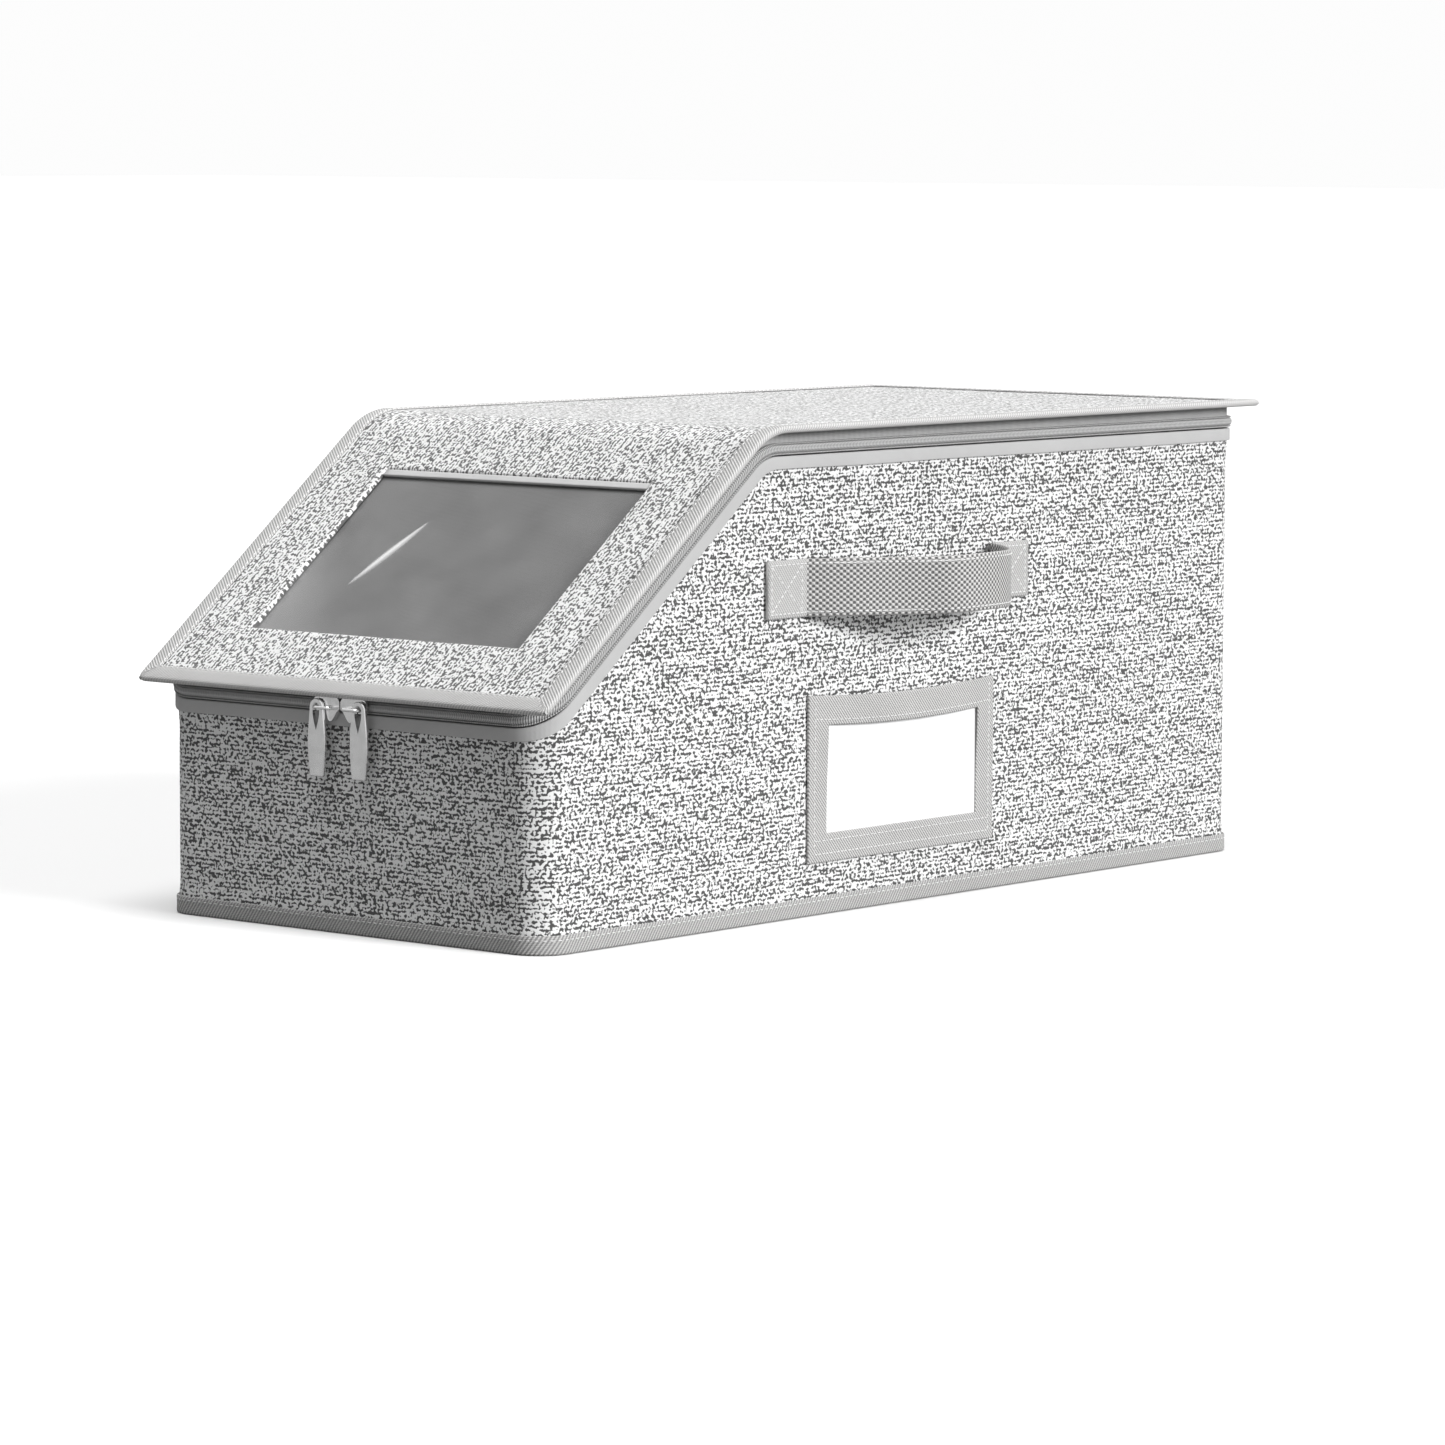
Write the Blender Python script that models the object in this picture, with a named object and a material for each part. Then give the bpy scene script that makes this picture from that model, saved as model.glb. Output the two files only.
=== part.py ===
"""A long fabric storage case for caps, with a bent lid, a window in its slope and a zip.

The case stands on the ground. X runs across its width, the sloped front faces -Y, Z is up.
All sizes below are millimetres. The walls are rings that follow one rounded outline, the
lid is a flat pattern that one function folds over the bend, and the zip hangs below it.
"""

import math

import bmesh
import bpy
import numpy as np

MM = 0.001

# Driving sizes of the case
WALL_WIDTH = 230.0
WALL_LENGTH = 520.0
WALL_CORNER = 16.0
WALL_CLOTH = 2.0
LINING_CLOTH = 0.8
FLOOR_BOARD = 2.4
SEAT_GAP = 0.3

# Driving sizes of the lid
LID_HEIGHT = 224.0
NOSE_HEIGHT = 107.3
SLOPE = math.radians(37.5)
BEND_RADIUS = 40.0
LID_OVERHANG = 9.0
LID_OVERHANG_REAR = 6.0
LID_BOARD = 1.5
LID_CORNER = 4.0
EDGE_TAPE = 0.5
EDGE_TAPE_FACE = 9.5

# Driving sizes of the window in the slope
WINDOW_WIDTH = 161.0
WINDOW_DROP = 112.0
WINDOW_ABOVE_NOSE = 39.5
WINDOW_FILM = 0.4
FILM_MARGIN = 6.0

# Driving sizes of the zip and the band under it. A side value is measured square to the
# lid's face, and a front value straight down from that face at the front wall.
CHAIN_SIDE = 8.0
CHAIN_FRONT = 9.8
CHAIN_WIDTH = 5.4
CHAIN_BULGE = 2.8
ZIP_TAPE = 0.8
ZIP_TAPE_BEHIND = 0.1
BAND_WIDTH = 6.0
BAND_CLOTH = 1.2
BAND_CAP = 0.9

# Driving sizes of the bottom binding
FOOT_HEIGHT = 8.2
FOOT_TAPE = 1.0
FOOT_UNDER = 0.7
FOOT_TUCK = 10.0

# Driving sizes of the strap handles and of the label pocket
HANDLE_MIDDLE = -13.0
HANDLE_LEVEL = 150.0
HANDLE_SPAN = 194.0
HANDLE_END = 28.0
HANDLE_RISE = 40.0
STRAP_WIDTH = 26.5
STRAP_CLOTH = 1.6
LABEL_MIDDLE = -10.7
LABEL_LEVEL = 62.2
LABEL_WIDTH = 138.0
LABEL_TALL = 77.0
LABEL_BORDER = 13.3
LABEL_SEAM = 10.0
LABEL_CLOTH = 0.6
LABEL_CARD = 0.4
MOUTH_BOW = 3.0
MOUTH_SAG = 2.2

# Driving sizes of the two sliders and their pulls
MEETING_X = -0.5
SLIDER_LENGTH = 15.4
SLIDER_ABOVE = 4.7
SLIDER_BELOW = 6.0
SLIDER_PLATE = 1.5
SLIDER_LIP = 1.2
POST_OUT = 12.75
POST_RADIUS = 1.0
BRIDGE_RADIUS = 0.8
BRIDGE_FOOT = 4.0
PULL_CLEAR = 0.35
PULL_PLATE = 1.6
PULL_LENGTH = 34.8
PULL_WIDTH = 10.5
PULL_HEAD = 3.9
PULL_HOLE = 2.0
PULL_HOLE_DROP = 10.3
PULL_BELOW_CHAIN = 1.0

# How the strap's free stretch rises: share of the free length, share of the rise
HANDLE_ARCH = [
    {"along": 0.00, "rise": 0.00},
    {"along": 0.07, "rise": 0.19},
    {"along": 0.16, "rise": 0.38},
    {"along": 0.26, "rise": 0.56},
    {"along": 0.35, "rise": 0.75},
    {"along": 0.44, "rise": 0.94},
    {"along": 0.53, "rise": 1.00},
    {"along": 0.64, "rise": 0.97},
    {"along": 0.74, "rise": 0.87},
    {"along": 0.83, "rise": 0.71},
    {"along": 0.91, "rise": 0.46},
    {"along": 0.96, "rise": 0.23},
    {"along": 1.00, "rise": 0.00},
]

# The slider's outline: share of its length from where the two meet, share of its height above
# the pull's axis, and share of its depth below that axis, where its short lobe hangs
SLIDER_SHOULDER = [
    {"along": 0.000, "above": 0.58, "below": 0.03},
    {"along": 0.050, "above": 0.84, "below": 0.14},
    {"along": 0.120, "above": 0.98, "below": 0.32},
    {"along": 0.240, "above": 1.00, "below": 0.75},
    {"along": 0.310, "above": 1.00, "below": 0.95},
    {"along": 0.383, "above": 1.00, "below": 1.00},
    {"along": 0.448, "above": 1.00, "below": 0.88},
    {"along": 0.484, "above": 1.00, "below": 0.64},
    {"along": 0.530, "above": 1.00, "below": 0.38},
    {"along": 0.620, "above": 0.99, "below": 0.29},
    {"along": 0.940, "above": 0.93, "below": 0.27},
    {"along": 1.000, "above": 0.66, "below": 0.15},
]

# The pull's outline below its head: share of the length below the axis, share of its width
PULL_SIDE = [
    {"down": 0.00, "half": 0.385},
    {"down": 0.16, "half": 0.430},
    {"down": 0.30, "half": 0.475},
    {"down": 0.45, "half": 0.500},
    {"down": 0.62, "half": 0.495},
    {"down": 0.80, "half": 0.450},
    {"down": 0.965, "half": 0.395},
    {"down": 1.00, "half": 0.345},
]

# The teardrop hole: share of its drop below the axis, share of its radius
PULL_TEARDROP = [
    {"down": 0.00, "half": 1.00},
    {"down": 0.28, "half": 1.00},
    {"down": 0.60, "half": 0.66},
    {"down": 0.86, "half": 0.24},
]

CORNER_STEPS = 7
BEND_STEPS = 9

# Worked out from the driving sizes. The case is set so that the lid's outline is centred.
MIDDLE_Y = (LID_OVERHANG - LID_OVERHANG_REAR) / 2.0
FRONT_Y = MIDDLE_Y - WALL_LENGTH / 2.0
REAR_Y = MIDDLE_Y + WALL_LENGTH / 2.0
NOSE_Y = FRONT_Y - LID_OVERHANG
FOLD_Y = NOSE_Y + (LID_HEIGHT - NOSE_HEIGHT) / math.tan(SLOPE)
BEND_TANGENT = BEND_RADIUS * math.tan(SLOPE / 2.0)
BEND_CENTRE_Y = FOLD_Y + BEND_TANGENT
SLOPE_RUN = (FOLD_Y - NOSE_Y) / math.cos(SLOPE) - BEND_TANGENT
BEND_RUN = BEND_RADIUS * SLOPE
FLAT_RUN = REAR_Y + LID_OVERHANG_REAR - BEND_CENTRE_Y
LID_RUN = SLOPE_RUN + BEND_RUN + FLAT_RUN
LID_EDGE = 2.0 * (EDGE_TAPE + SEAT_GAP) + LID_BOARD
LINING_INSIDE = WALL_CLOTH + SEAT_GAP + LINING_CLOTH
FLOOR_LEVEL = FOOT_UNDER + SEAT_GAP
BAND_SIDE = CHAIN_SIDE + CHAIN_WIDTH + 2.0 * SEAT_GAP
BAND_FRONT = CHAIN_FRONT + CHAIN_WIDTH + 2.0 * SEAT_GAP
WALL_TOP_DROP = BAND_CAP + SEAT_GAP


def skin_height(y, depth):
    """Height of the curve that runs a given depth below the lid's top face, over y.

    It is a level line behind the bend, a circle about the bend's centre in it, and in front
    of it the slope's line, lowered by the depth over the cosine of the slope.
    """
    y = np.asarray(y, dtype=float)
    radius = BEND_RADIUS - depth
    start = BEND_CENTRE_Y - radius * math.sin(SLOPE)
    line = NOSE_HEIGHT + (y - NOSE_Y) * math.tan(SLOPE) - depth / math.cos(SLOPE)
    inside = np.clip(radius ** 2 - (BEND_CENTRE_Y - y) ** 2, 0.0, None)
    arc = LID_HEIGHT - BEND_RADIUS + np.sqrt(inside)
    level = LID_HEIGHT - depth
    return np.where(y >= BEND_CENTRE_Y, level, np.where(y <= start, line, arc))


def fold(run, depth):
    """Fold a flat pattern: the run from the nose along the lid's face, and a depth below it."""
    run = np.asarray(run, dtype=float)
    turn = np.clip((run - SLOPE_RUN) / BEND_RADIUS, 0.0, SLOPE)
    lean = SLOPE - turn
    slope_y = NOSE_Y + run * math.cos(SLOPE)
    slope_z = NOSE_HEIGHT + run * math.sin(SLOPE)
    arc_y = BEND_CENTRE_Y - BEND_RADIUS * np.sin(lean)
    arc_z = LID_HEIGHT - BEND_RADIUS + BEND_RADIUS * np.cos(lean)
    flat_y = BEND_CENTRE_Y + (run - SLOPE_RUN - BEND_RUN)
    y = np.where(run <= SLOPE_RUN, slope_y, np.where(lean > 0.0, arc_y, flat_y))
    z = np.where(run <= SLOPE_RUN, slope_z, np.where(lean > 0.0, arc_z, LID_HEIGHT))
    return y + np.sin(lean) * depth, z - np.cos(lean) * depth


def rounded_loop(low, high, radius, stations):
    """Points round a rectangle with round corners, with extra points on its two long sides.

    It starts at the middle of the front, runs up the +X side over the stations, along the
    rear and back down the -X side. Each row holds x, y and how far the wall faces the front.
    """
    rows = []
    centres = [(high[0] - radius, low[1] + radius, -90.0), (high[0] - radius, high[1] - radius, 0.0),
               (low[0] + radius, high[1] - radius, 90.0), (low[0] + radius, low[1] + radius, 180.0)]
    for corner, (cx, cy, start) in enumerate(centres):
        for step in range(CORNER_STEPS + 1):
            angle = math.radians(start + 90.0 * step / CORNER_STEPS)
            facing = max(0.0, -math.sin(angle)) ** 2
            rows.append((cx + radius * math.cos(angle), cy + radius * math.sin(angle), facing))
        if corner == 0:
            rows += [(high[0], y, 0.0) for y in stations]
        if corner == 2:
            rows += [(low[0], y, 0.0) for y in reversed(stations)]
    return np.array(rows)


def wall_loop(out):
    """The walls' outline moved outwards, with stations where the lid's bend is above them."""
    half = WALL_WIDTH / 2.0 + out
    reach = BEND_RADIUS * math.sin(SLOPE)
    stations = list(np.linspace(BEND_CENTRE_Y - reach, BEND_CENTRE_Y, BEND_STEPS + 1))
    low = (-half, FRONT_Y - out)
    high = (half, REAR_Y + out)
    return rounded_loop(low, high, WALL_CORNER + out, stations)


def lid_loop(inset, depth):
    """The lid's outline in its flat pattern, moved inwards and folded to its place."""
    half = WALL_WIDTH / 2.0 + LID_OVERHANG - inset
    stations = list(np.linspace(SLOPE_RUN, SLOPE_RUN + BEND_RUN, BEND_STEPS + 1))
    radius = max(LID_CORNER - inset, SEAT_GAP)
    loop = rounded_loop((-half, inset), (half, LID_RUN - inset), radius, stations)
    y, z = fold(loop[:, 1], depth)
    return np.column_stack([loop[:, 0], y, z])


def paint(name, colour, roughness, metallic=0.0, alpha=1.0):
    """A Principled material of one piece."""
    material = bpy.data.materials.new(name)
    material.use_nodes = True
    shader = material.node_tree.nodes["Principled BSDF"]
    shader.inputs["Base Color"].default_value = (*colour, 1.0)
    shader.inputs["Roughness"].default_value = roughness
    shader.inputs["Metallic"].default_value = metallic
    shader.inputs["Alpha"].default_value = alpha
    material.diffuse_color = (*colour, alpha)
    return material


def add_piece(name, points, faces, material, origin=(0.0, 0.0, 0.0), smooth=False):
    """Make one object from points in millimetres, with its faces turned outwards."""
    mesh = bpy.data.meshes.new(name)
    local = (np.asarray(points, dtype=float) - np.asarray(origin)) * MM
    mesh.from_pydata([tuple(p) for p in local], [], [tuple(f) for f in faces])
    edit = bmesh.new()
    edit.from_mesh(mesh)
    bmesh.ops.recalc_face_normals(edit, faces=edit.faces)
    edit.to_mesh(mesh)
    edit.free()
    if smooth:
        mesh.shade_smooth()
        mesh.set_sharp_from_angle(angle=math.radians(35.0))
    mesh.materials.append(material)
    piece = bpy.data.objects.new(name, mesh)
    piece.location = [value * MM for value in origin]
    bpy.context.scene.collection.objects.link(piece)
    return piece


def ring_faces(count, sides):
    """Quads of a ring: count stations round it, sides points in its closed section."""
    faces = []
    for i in range(count):
        j = (i + 1) % count
        for k in range(sides):
            m = (k + 1) % sides
            faces.append((i * sides + k, j * sides + k, j * sides + m, i * sides + m))
    return faces


def tube_faces(count, sides):
    """Quads of a closed bar: count stations along it, a section of sides points, two ends."""
    faces = []
    for i in range(count - 1):
        for k in range(sides):
            m = (k + 1) % sides
            faces.append((i * sides + k, (i + 1) * sides + k, (i + 1) * sides + m, i * sides + m))
    faces.append(tuple(range(sides - 1, -1, -1)))
    faces.append(tuple((count - 1) * sides + k for k in range(sides)))
    return faces


def ground(level):
    """A level that is the same all round the case."""
    return lambda loop: np.full(len(loop), level)


def below_lid(side, front):
    """A level that follows the lid: square to it on the sides, straight down at the front."""
    def level(loop):
        facing = loop[:, 2]
        on_side = skin_height(loop[:, 1], side)
        on_front = skin_height(loop[:, 1], 0.0) - front
        return on_side * (1.0 - facing) + on_front * facing
    return level


def wall_ring(name, section, material, smooth=False):
    """A ring round the case. Each row of the section is how far out it is, and its level."""
    reference = wall_loop(0.0)
    columns = []
    for out, level in section:
        loop = wall_loop(out)
        columns.append(np.column_stack([loop[:, 0], loop[:, 1], level(reference)]))
    points = np.stack(columns, axis=1).reshape(-1, 3)
    return add_piece(name, points, ring_faces(len(reference), len(section)), material, smooth=smooth)


def smooth_rows(rows, across, up, steps):
    """A Catmull-Rom curve through the rows of a table, as (across, up) pairs."""
    knots = np.array([(row[across], row[up]) for row in rows])
    padded = np.vstack([2.0 * knots[0] - knots[1], knots, 2.0 * knots[-1] - knots[-2]])
    curve = []
    for i in range(1, len(padded) - 2):
        a, b, c, d = padded[i - 1], padded[i], padded[i + 1], padded[i + 2]
        for step in range(steps):
            t = step / steps
            curve.append(0.5 * (2.0 * b + (c - a) * t + (2.0 * a - 5.0 * b + 4.0 * c - d) * t * t
                                + (3.0 * b - a - 3.0 * c + d) * t ** 3))
    curve.append(knots[-1])
    return np.array(curve)


def prism(name, outline, low_y, high_y, material, origin=(0.0, 0.0, 0.0), smooth=False):
    """A plate whose outline lies in x and z, between two values of y."""
    count = len(outline)
    near = [(x, low_y, z) for x, z in outline]
    far = [(x, high_y, z) for x, z in outline]
    faces = [tuple(range(count)), tuple(range(2 * count - 1, count - 1, -1))]
    faces += [(i, (i + 1) % count, count + (i + 1) % count, count + i) for i in range(count)]
    return add_piece(name, near + far, faces, material, origin, smooth)


def combine(piece, other, operation):
    """Join or cut a piece with a helper, which is then hidden as a guide."""
    cut = piece.modifiers.new(other.name, "BOOLEAN")
    cut.operation = operation
    cut.object = other
    cut.solver = "EXACT"
    other.hide_render = True
    other.display_type = "WIRE"


def build_walls():
    """The tweed walls, the lining inside them and the floor board."""
    bottom = ground(FLOOR_LEVEL)
    top = below_lid(BAND_SIDE + WALL_TOP_DROP, BAND_FRONT + WALL_TOP_DROP)
    tweed = paint("wall_shell", (0.62, 0.62, 0.63), 0.95)
    section = [(0.0, bottom), (0.0, top), (-WALL_CLOTH, top), (-WALL_CLOTH, bottom)]
    wall_ring("wall_shell", section, tweed, smooth=True)
    cloth = paint("inner_lining", (0.26, 0.26, 0.265), 0.9)
    outer = -(WALL_CLOTH + SEAT_GAP)
    section = [(outer, bottom), (outer, top), (-LINING_INSIDE, top), (-LINING_INSIDE, bottom)]
    wall_ring("inner_lining", section, cloth, smooth=True)
    board = wall_loop(-(LINING_INSIDE + SEAT_GAP))[:, :2]
    count = len(board)
    low = np.column_stack([board, np.full(count, FLOOR_LEVEL)])
    high = np.column_stack([board, np.full(count, FLOOR_LEVEL + FLOOR_BOARD)])
    faces = [tuple(range(count)), tuple(range(2 * count - 1, count - 1, -1))]
    faces += [(i, (i + 1) % count, count + (i + 1) % count, count + i) for i in range(count)]
    add_piece("floor_panel", np.vstack([low, high]), faces, paint("floor_panel", (0.27, 0.27, 0.275), 0.9))


def build_foot():
    """The binding that wraps the lower edge of the walls and the border of the floor."""
    outer = SEAT_GAP + FOOT_TAPE
    section = [(outer, ground(0.0)), (outer, ground(FOOT_HEIGHT)), (SEAT_GAP, ground(FOOT_HEIGHT)),
               (SEAT_GAP, ground(FOOT_UNDER)), (-FOOT_TUCK, ground(FOOT_UNDER)), (-FOOT_TUCK, ground(0.0))]
    wall_ring("bottom_binding", section, paint("bottom_binding", (0.42, 0.41, 0.41), 0.9), smooth=True)


def build_zip():
    """The band over the walls' top edge, the zip's two tapes and its covered chain."""
    face = SEAT_GAP + BAND_CLOTH
    top = below_lid(BAND_SIDE, BAND_FRONT)
    under_cap = below_lid(BAND_SIDE + BAND_CAP, BAND_FRONT + BAND_CAP)
    hem = below_lid(BAND_SIDE + BAND_WIDTH, BAND_FRONT + BAND_WIDTH)
    section = [(SEAT_GAP, hem), (face, hem), (face, top), (-LINING_INSIDE, top),
               (-LINING_INSIDE, under_cap), (SEAT_GAP, under_cap)]
    wall_ring("wall_top_band", section, paint("wall_top_band", (0.55, 0.55, 0.555), 0.85), smooth=True)

    grey = (0.36, 0.36, 0.365)
    outer = -ZIP_TAPE_BEHIND
    inner = outer - ZIP_TAPE
    middle = CHAIN_WIDTH / 2.0
    low = below_lid(BAND_SIDE - SEAT_GAP, BAND_FRONT - SEAT_GAP)
    seam_low = below_lid(CHAIN_SIDE + middle + SEAT_GAP / 2.0, CHAIN_FRONT + middle + SEAT_GAP / 2.0)
    seam_high = below_lid(CHAIN_SIDE + middle - SEAT_GAP / 2.0, CHAIN_FRONT + middle - SEAT_GAP / 2.0)
    lid_front = (LID_EDGE + SEAT_GAP) / math.cos(SLOPE) + ZIP_TAPE * math.tan(SLOPE)
    under_lid = below_lid(LID_EDGE + SEAT_GAP, lid_front)
    section = [(outer, low), (outer, seam_low), (inner, seam_low), (inner, low)]
    wall_ring("zip_lower_tape", section, paint("zip_lower_tape", grey, 0.9), smooth=True)
    section = [(outer, seam_high), (outer, under_lid), (inner, under_lid), (inner, seam_high)]
    wall_ring("zip_upper_tape", section, paint("zip_upper_tape", grey, 0.9), smooth=True)

    back = outer + SEAT_GAP
    section = []
    for step in range(7):
        angle = math.pi * step / 6.0
        drop = middle * (1.0 - math.cos(angle))
        out = back + CHAIN_BULGE * math.sin(angle) ** 0.7 if 0 < step < 6 else back
        section.append((out, below_lid(CHAIN_SIDE + drop, CHAIN_FRONT + drop)))
    wall_ring("zip_chain", section, paint("zip_chain", (0.33, 0.33, 0.335), 0.85), smooth=True)


def build_lid():
    """The folded lid board with its window, the film under it and the binding round it."""
    board_top = EDGE_TAPE + SEAT_GAP
    half_window = WINDOW_WIDTH / 2.0
    half = WALL_WIDTH / 2.0 + LID_OVERHANG - board_top
    window_low = WINDOW_ABOVE_NOSE
    window_high = window_low + WINDOW_DROP
    bends = list(np.linspace(SLOPE_RUN, SLOPE_RUN + BEND_RUN, BEND_STEPS + 1))
    runs = [board_top, window_low, window_high] + bends + [LID_RUN - board_top]
    across = [-half, -half_window, half_window, half]
    edit = bmesh.new()
    grid = [[edit.verts.new((x, run, 0.0)) for x in across] for run in runs]
    for i in range(len(runs) - 1):
        for k in range(len(across) - 1):
            if (i, k) != (1, 1):
                edit.faces.new((grid[i][k], grid[i][k + 1], grid[i + 1][k + 1], grid[i + 1][k]))
    thick = bmesh.ops.extrude_face_region(edit, geom=list(edit.faces))
    for item in thick["geom"]:
        if isinstance(item, bmesh.types.BMVert):
            item.co.z = -LID_BOARD
    corners = [e for e in edit.edges if abs(e.verts[0].co.z - e.verts[1].co.z) > 0.1
               and abs(abs(e.verts[0].co.x) - half) < 0.01
               and (e.verts[0].co.y < window_low / 2.0 or e.verts[0].co.y > LID_RUN - 2.0 * board_top)]
    bmesh.ops.bevel(edit, geom=corners, offset=LID_CORNER - board_top, segments=4, profile=0.5,
                    affect="EDGES")
    edit.verts.index_update()
    flat = np.array([tuple(v.co) for v in edit.verts])
    faces = [tuple(v.index for v in face.verts) for face in edit.faces]
    edit.free()
    y, z = fold(flat[:, 1], board_top - flat[:, 2])
    points = np.column_stack([flat[:, 0], y, z])
    add_piece("lid_panel", points, faces, paint("lid_panel", (0.68, 0.68, 0.69), 0.95), smooth=True)

    edge = LID_EDGE
    section = [(EDGE_TAPE_FACE, 0.0), (0.6, 0.0), (0.0, 0.7), (0.0, edge - 0.7), (0.6, edge),
               (EDGE_TAPE_FACE, edge), (EDGE_TAPE_FACE, edge - EDGE_TAPE), (EDGE_TAPE, edge - EDGE_TAPE),
               (EDGE_TAPE, EDGE_TAPE), (EDGE_TAPE_FACE, EDGE_TAPE)]
    columns = [lid_loop(inset, depth) for inset, depth in section]
    points = np.stack(columns, axis=1).reshape(-1, 3)
    binding = paint("lid_binding", (0.5, 0.495, 0.49), 0.9)
    add_piece("lid_binding", points, ring_faces(len(columns[0]), len(section)), binding, smooth=True)

    film_top = board_top + LID_BOARD + SEAT_GAP
    wide = half_window + FILM_MARGIN
    corners = [(-wide, window_low - FILM_MARGIN), (wide, window_low - FILM_MARGIN),
               (wide, window_high + FILM_MARGIN), (-wide, window_high + FILM_MARGIN)]
    points = []
    for depth in (film_top, film_top + WINDOW_FILM):
        for x, run in corners:
            y, z = fold(run, depth)
            points.append((x, float(y), float(z)))
    faces = [(0, 1, 2, 3), (7, 6, 5, 4), (0, 4, 5, 1), (1, 5, 6, 2), (2, 6, 7, 3), (3, 7, 4, 0)]
    add_piece("window_film", points, faces, paint("window_film", (0.92, 0.94, 0.95), 0.05, alpha=0.25))


def build_handle(name, side):
    """A webbing strap with two sewn ends and a free arch between them, on one side wall."""
    free = HANDLE_SPAN - 2.0 * HANDLE_END
    middle = MIDDLE_Y + HANDLE_MIDDLE
    arch = smooth_rows(HANDLE_ARCH, "along", "rise", 2)
    start = middle - HANDLE_SPAN / 2.0
    path = [(start, 0.0), (start + HANDLE_END / 2.0, 0.0)]
    path += [(middle - free / 2.0 + along * free, rise * HANDLE_RISE) for along, rise in arch]
    path += [(start + HANDLE_SPAN - HANDLE_END / 2.0, 0.0), (start + HANDLE_SPAN, 0.0)]
    path = np.array(path)
    ahead = np.gradient(path, axis=0)
    ahead /= np.linalg.norm(ahead, axis=1)[:, None]
    normal = np.column_stack([-ahead[:, 1], ahead[:, 0]])
    seat = WALL_WIDTH / 2.0 + SEAT_GAP + STRAP_CLOTH / 2.0
    points = []
    for (y, rise), (ny, nx) in zip(path, normal):
        for face, edge in ((-1, -1), (1, -1), (1, 1), (-1, 1)):
            x = seat + rise + nx * face * STRAP_CLOTH / 2.0
            shift = ny * face * STRAP_CLOTH / 2.0
            points.append((side * x, y + shift, HANDLE_LEVEL + edge * STRAP_WIDTH / 2.0))
    webbing = paint(name, (0.5, 0.495, 0.49), 0.9)
    add_piece(name, points, tube_faces(len(path), 4), webbing, smooth=True)


def build_label():
    """The pocket's frame, whose open top edge bows and sags, and the bare card in it."""
    half_wide = LABEL_WIDTH / 2.0
    half_tall = LABEL_TALL / 2.0
    middle = MIDDLE_Y + LABEL_MIDDLE
    card_out = SEAT_GAP + LABEL_CARD
    back = card_out + SEAT_GAP
    face = back + LABEL_CLOTH
    section = [(0.0, SEAT_GAP), (0.0, face), (LABEL_BORDER, face), (LABEL_BORDER, back),
               (LABEL_SEAM, back), (LABEL_SEAM, SEAT_GAP)]
    steps = 8
    points = []
    for u_from, v_from, u_to, v_to in ((-1, -1, 1, -1), (1, -1, 1, 1), (1, 1, -1, 1), (-1, 1, -1, -1)):
        for step in range(steps):
            t = step / steps
            u_share = u_from + (u_to - u_from) * t
            v_share = v_from + (v_to - v_from) * t
            for inset, out in section:
                u = u_share * (half_wide - inset)
                v = v_share * (half_tall - inset)
                ramp = min(max((v / half_tall + 0.3) / 0.9, 0.0), 1.0)
                bow = (1.0 - (u / half_wide) ** 2) * ramp * ramp * (3.0 - 2.0 * ramp)
                points.append((WALL_WIDTH / 2.0 + out + MOUTH_BOW * bow, middle + u,
                               LABEL_LEVEL + v - MOUTH_SAG * bow))
    twill = paint("label_frame", (0.52, 0.515, 0.51), 0.9)
    add_piece("label_frame", points, ring_faces(4 * steps, len(section)), twill)

    wide = half_wide - LABEL_SEAM - SEAT_GAP
    tall = half_tall - LABEL_SEAM - SEAT_GAP - MOUTH_SAG
    points = []
    for out in (SEAT_GAP, card_out):
        for u, v in ((-wide, -tall), (wide, -tall), (wide, tall), (-wide, tall)):
            points.append((WALL_WIDTH / 2.0 + out, middle + u, LABEL_LEVEL + v))
    faces = [(0, 1, 2, 3), (7, 6, 5, 4), (0, 4, 5, 1), (1, 5, 6, 2), (2, 6, 7, 3), (3, 7, 4, 0)]
    add_piece("label_card", points, faces, paint("label_card", (0.92, 0.92, 0.92), 0.5))


def build_bridge(name, path, radii, material):
    """A round bar along a path of three straight runs, as a tube of eight sides."""
    sides = 8
    path = np.array(path, dtype=float)
    ahead = np.gradient(path, axis=0)
    ahead /= np.linalg.norm(ahead, axis=1)[:, None]
    up = np.array([0.0, 0.0, 1.0])
    points = []
    for centre, forward, radius in zip(path, ahead, radii):
        across = np.cross(forward, up)
        for k in range(sides):
            angle = 2.0 * math.pi * (k + 0.5) / sides
            points.append(centre + radius * (math.cos(angle) * across + math.sin(angle) * up))
    return add_piece(name, points, tube_faces(len(path), sides), material, smooth=True)


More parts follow.
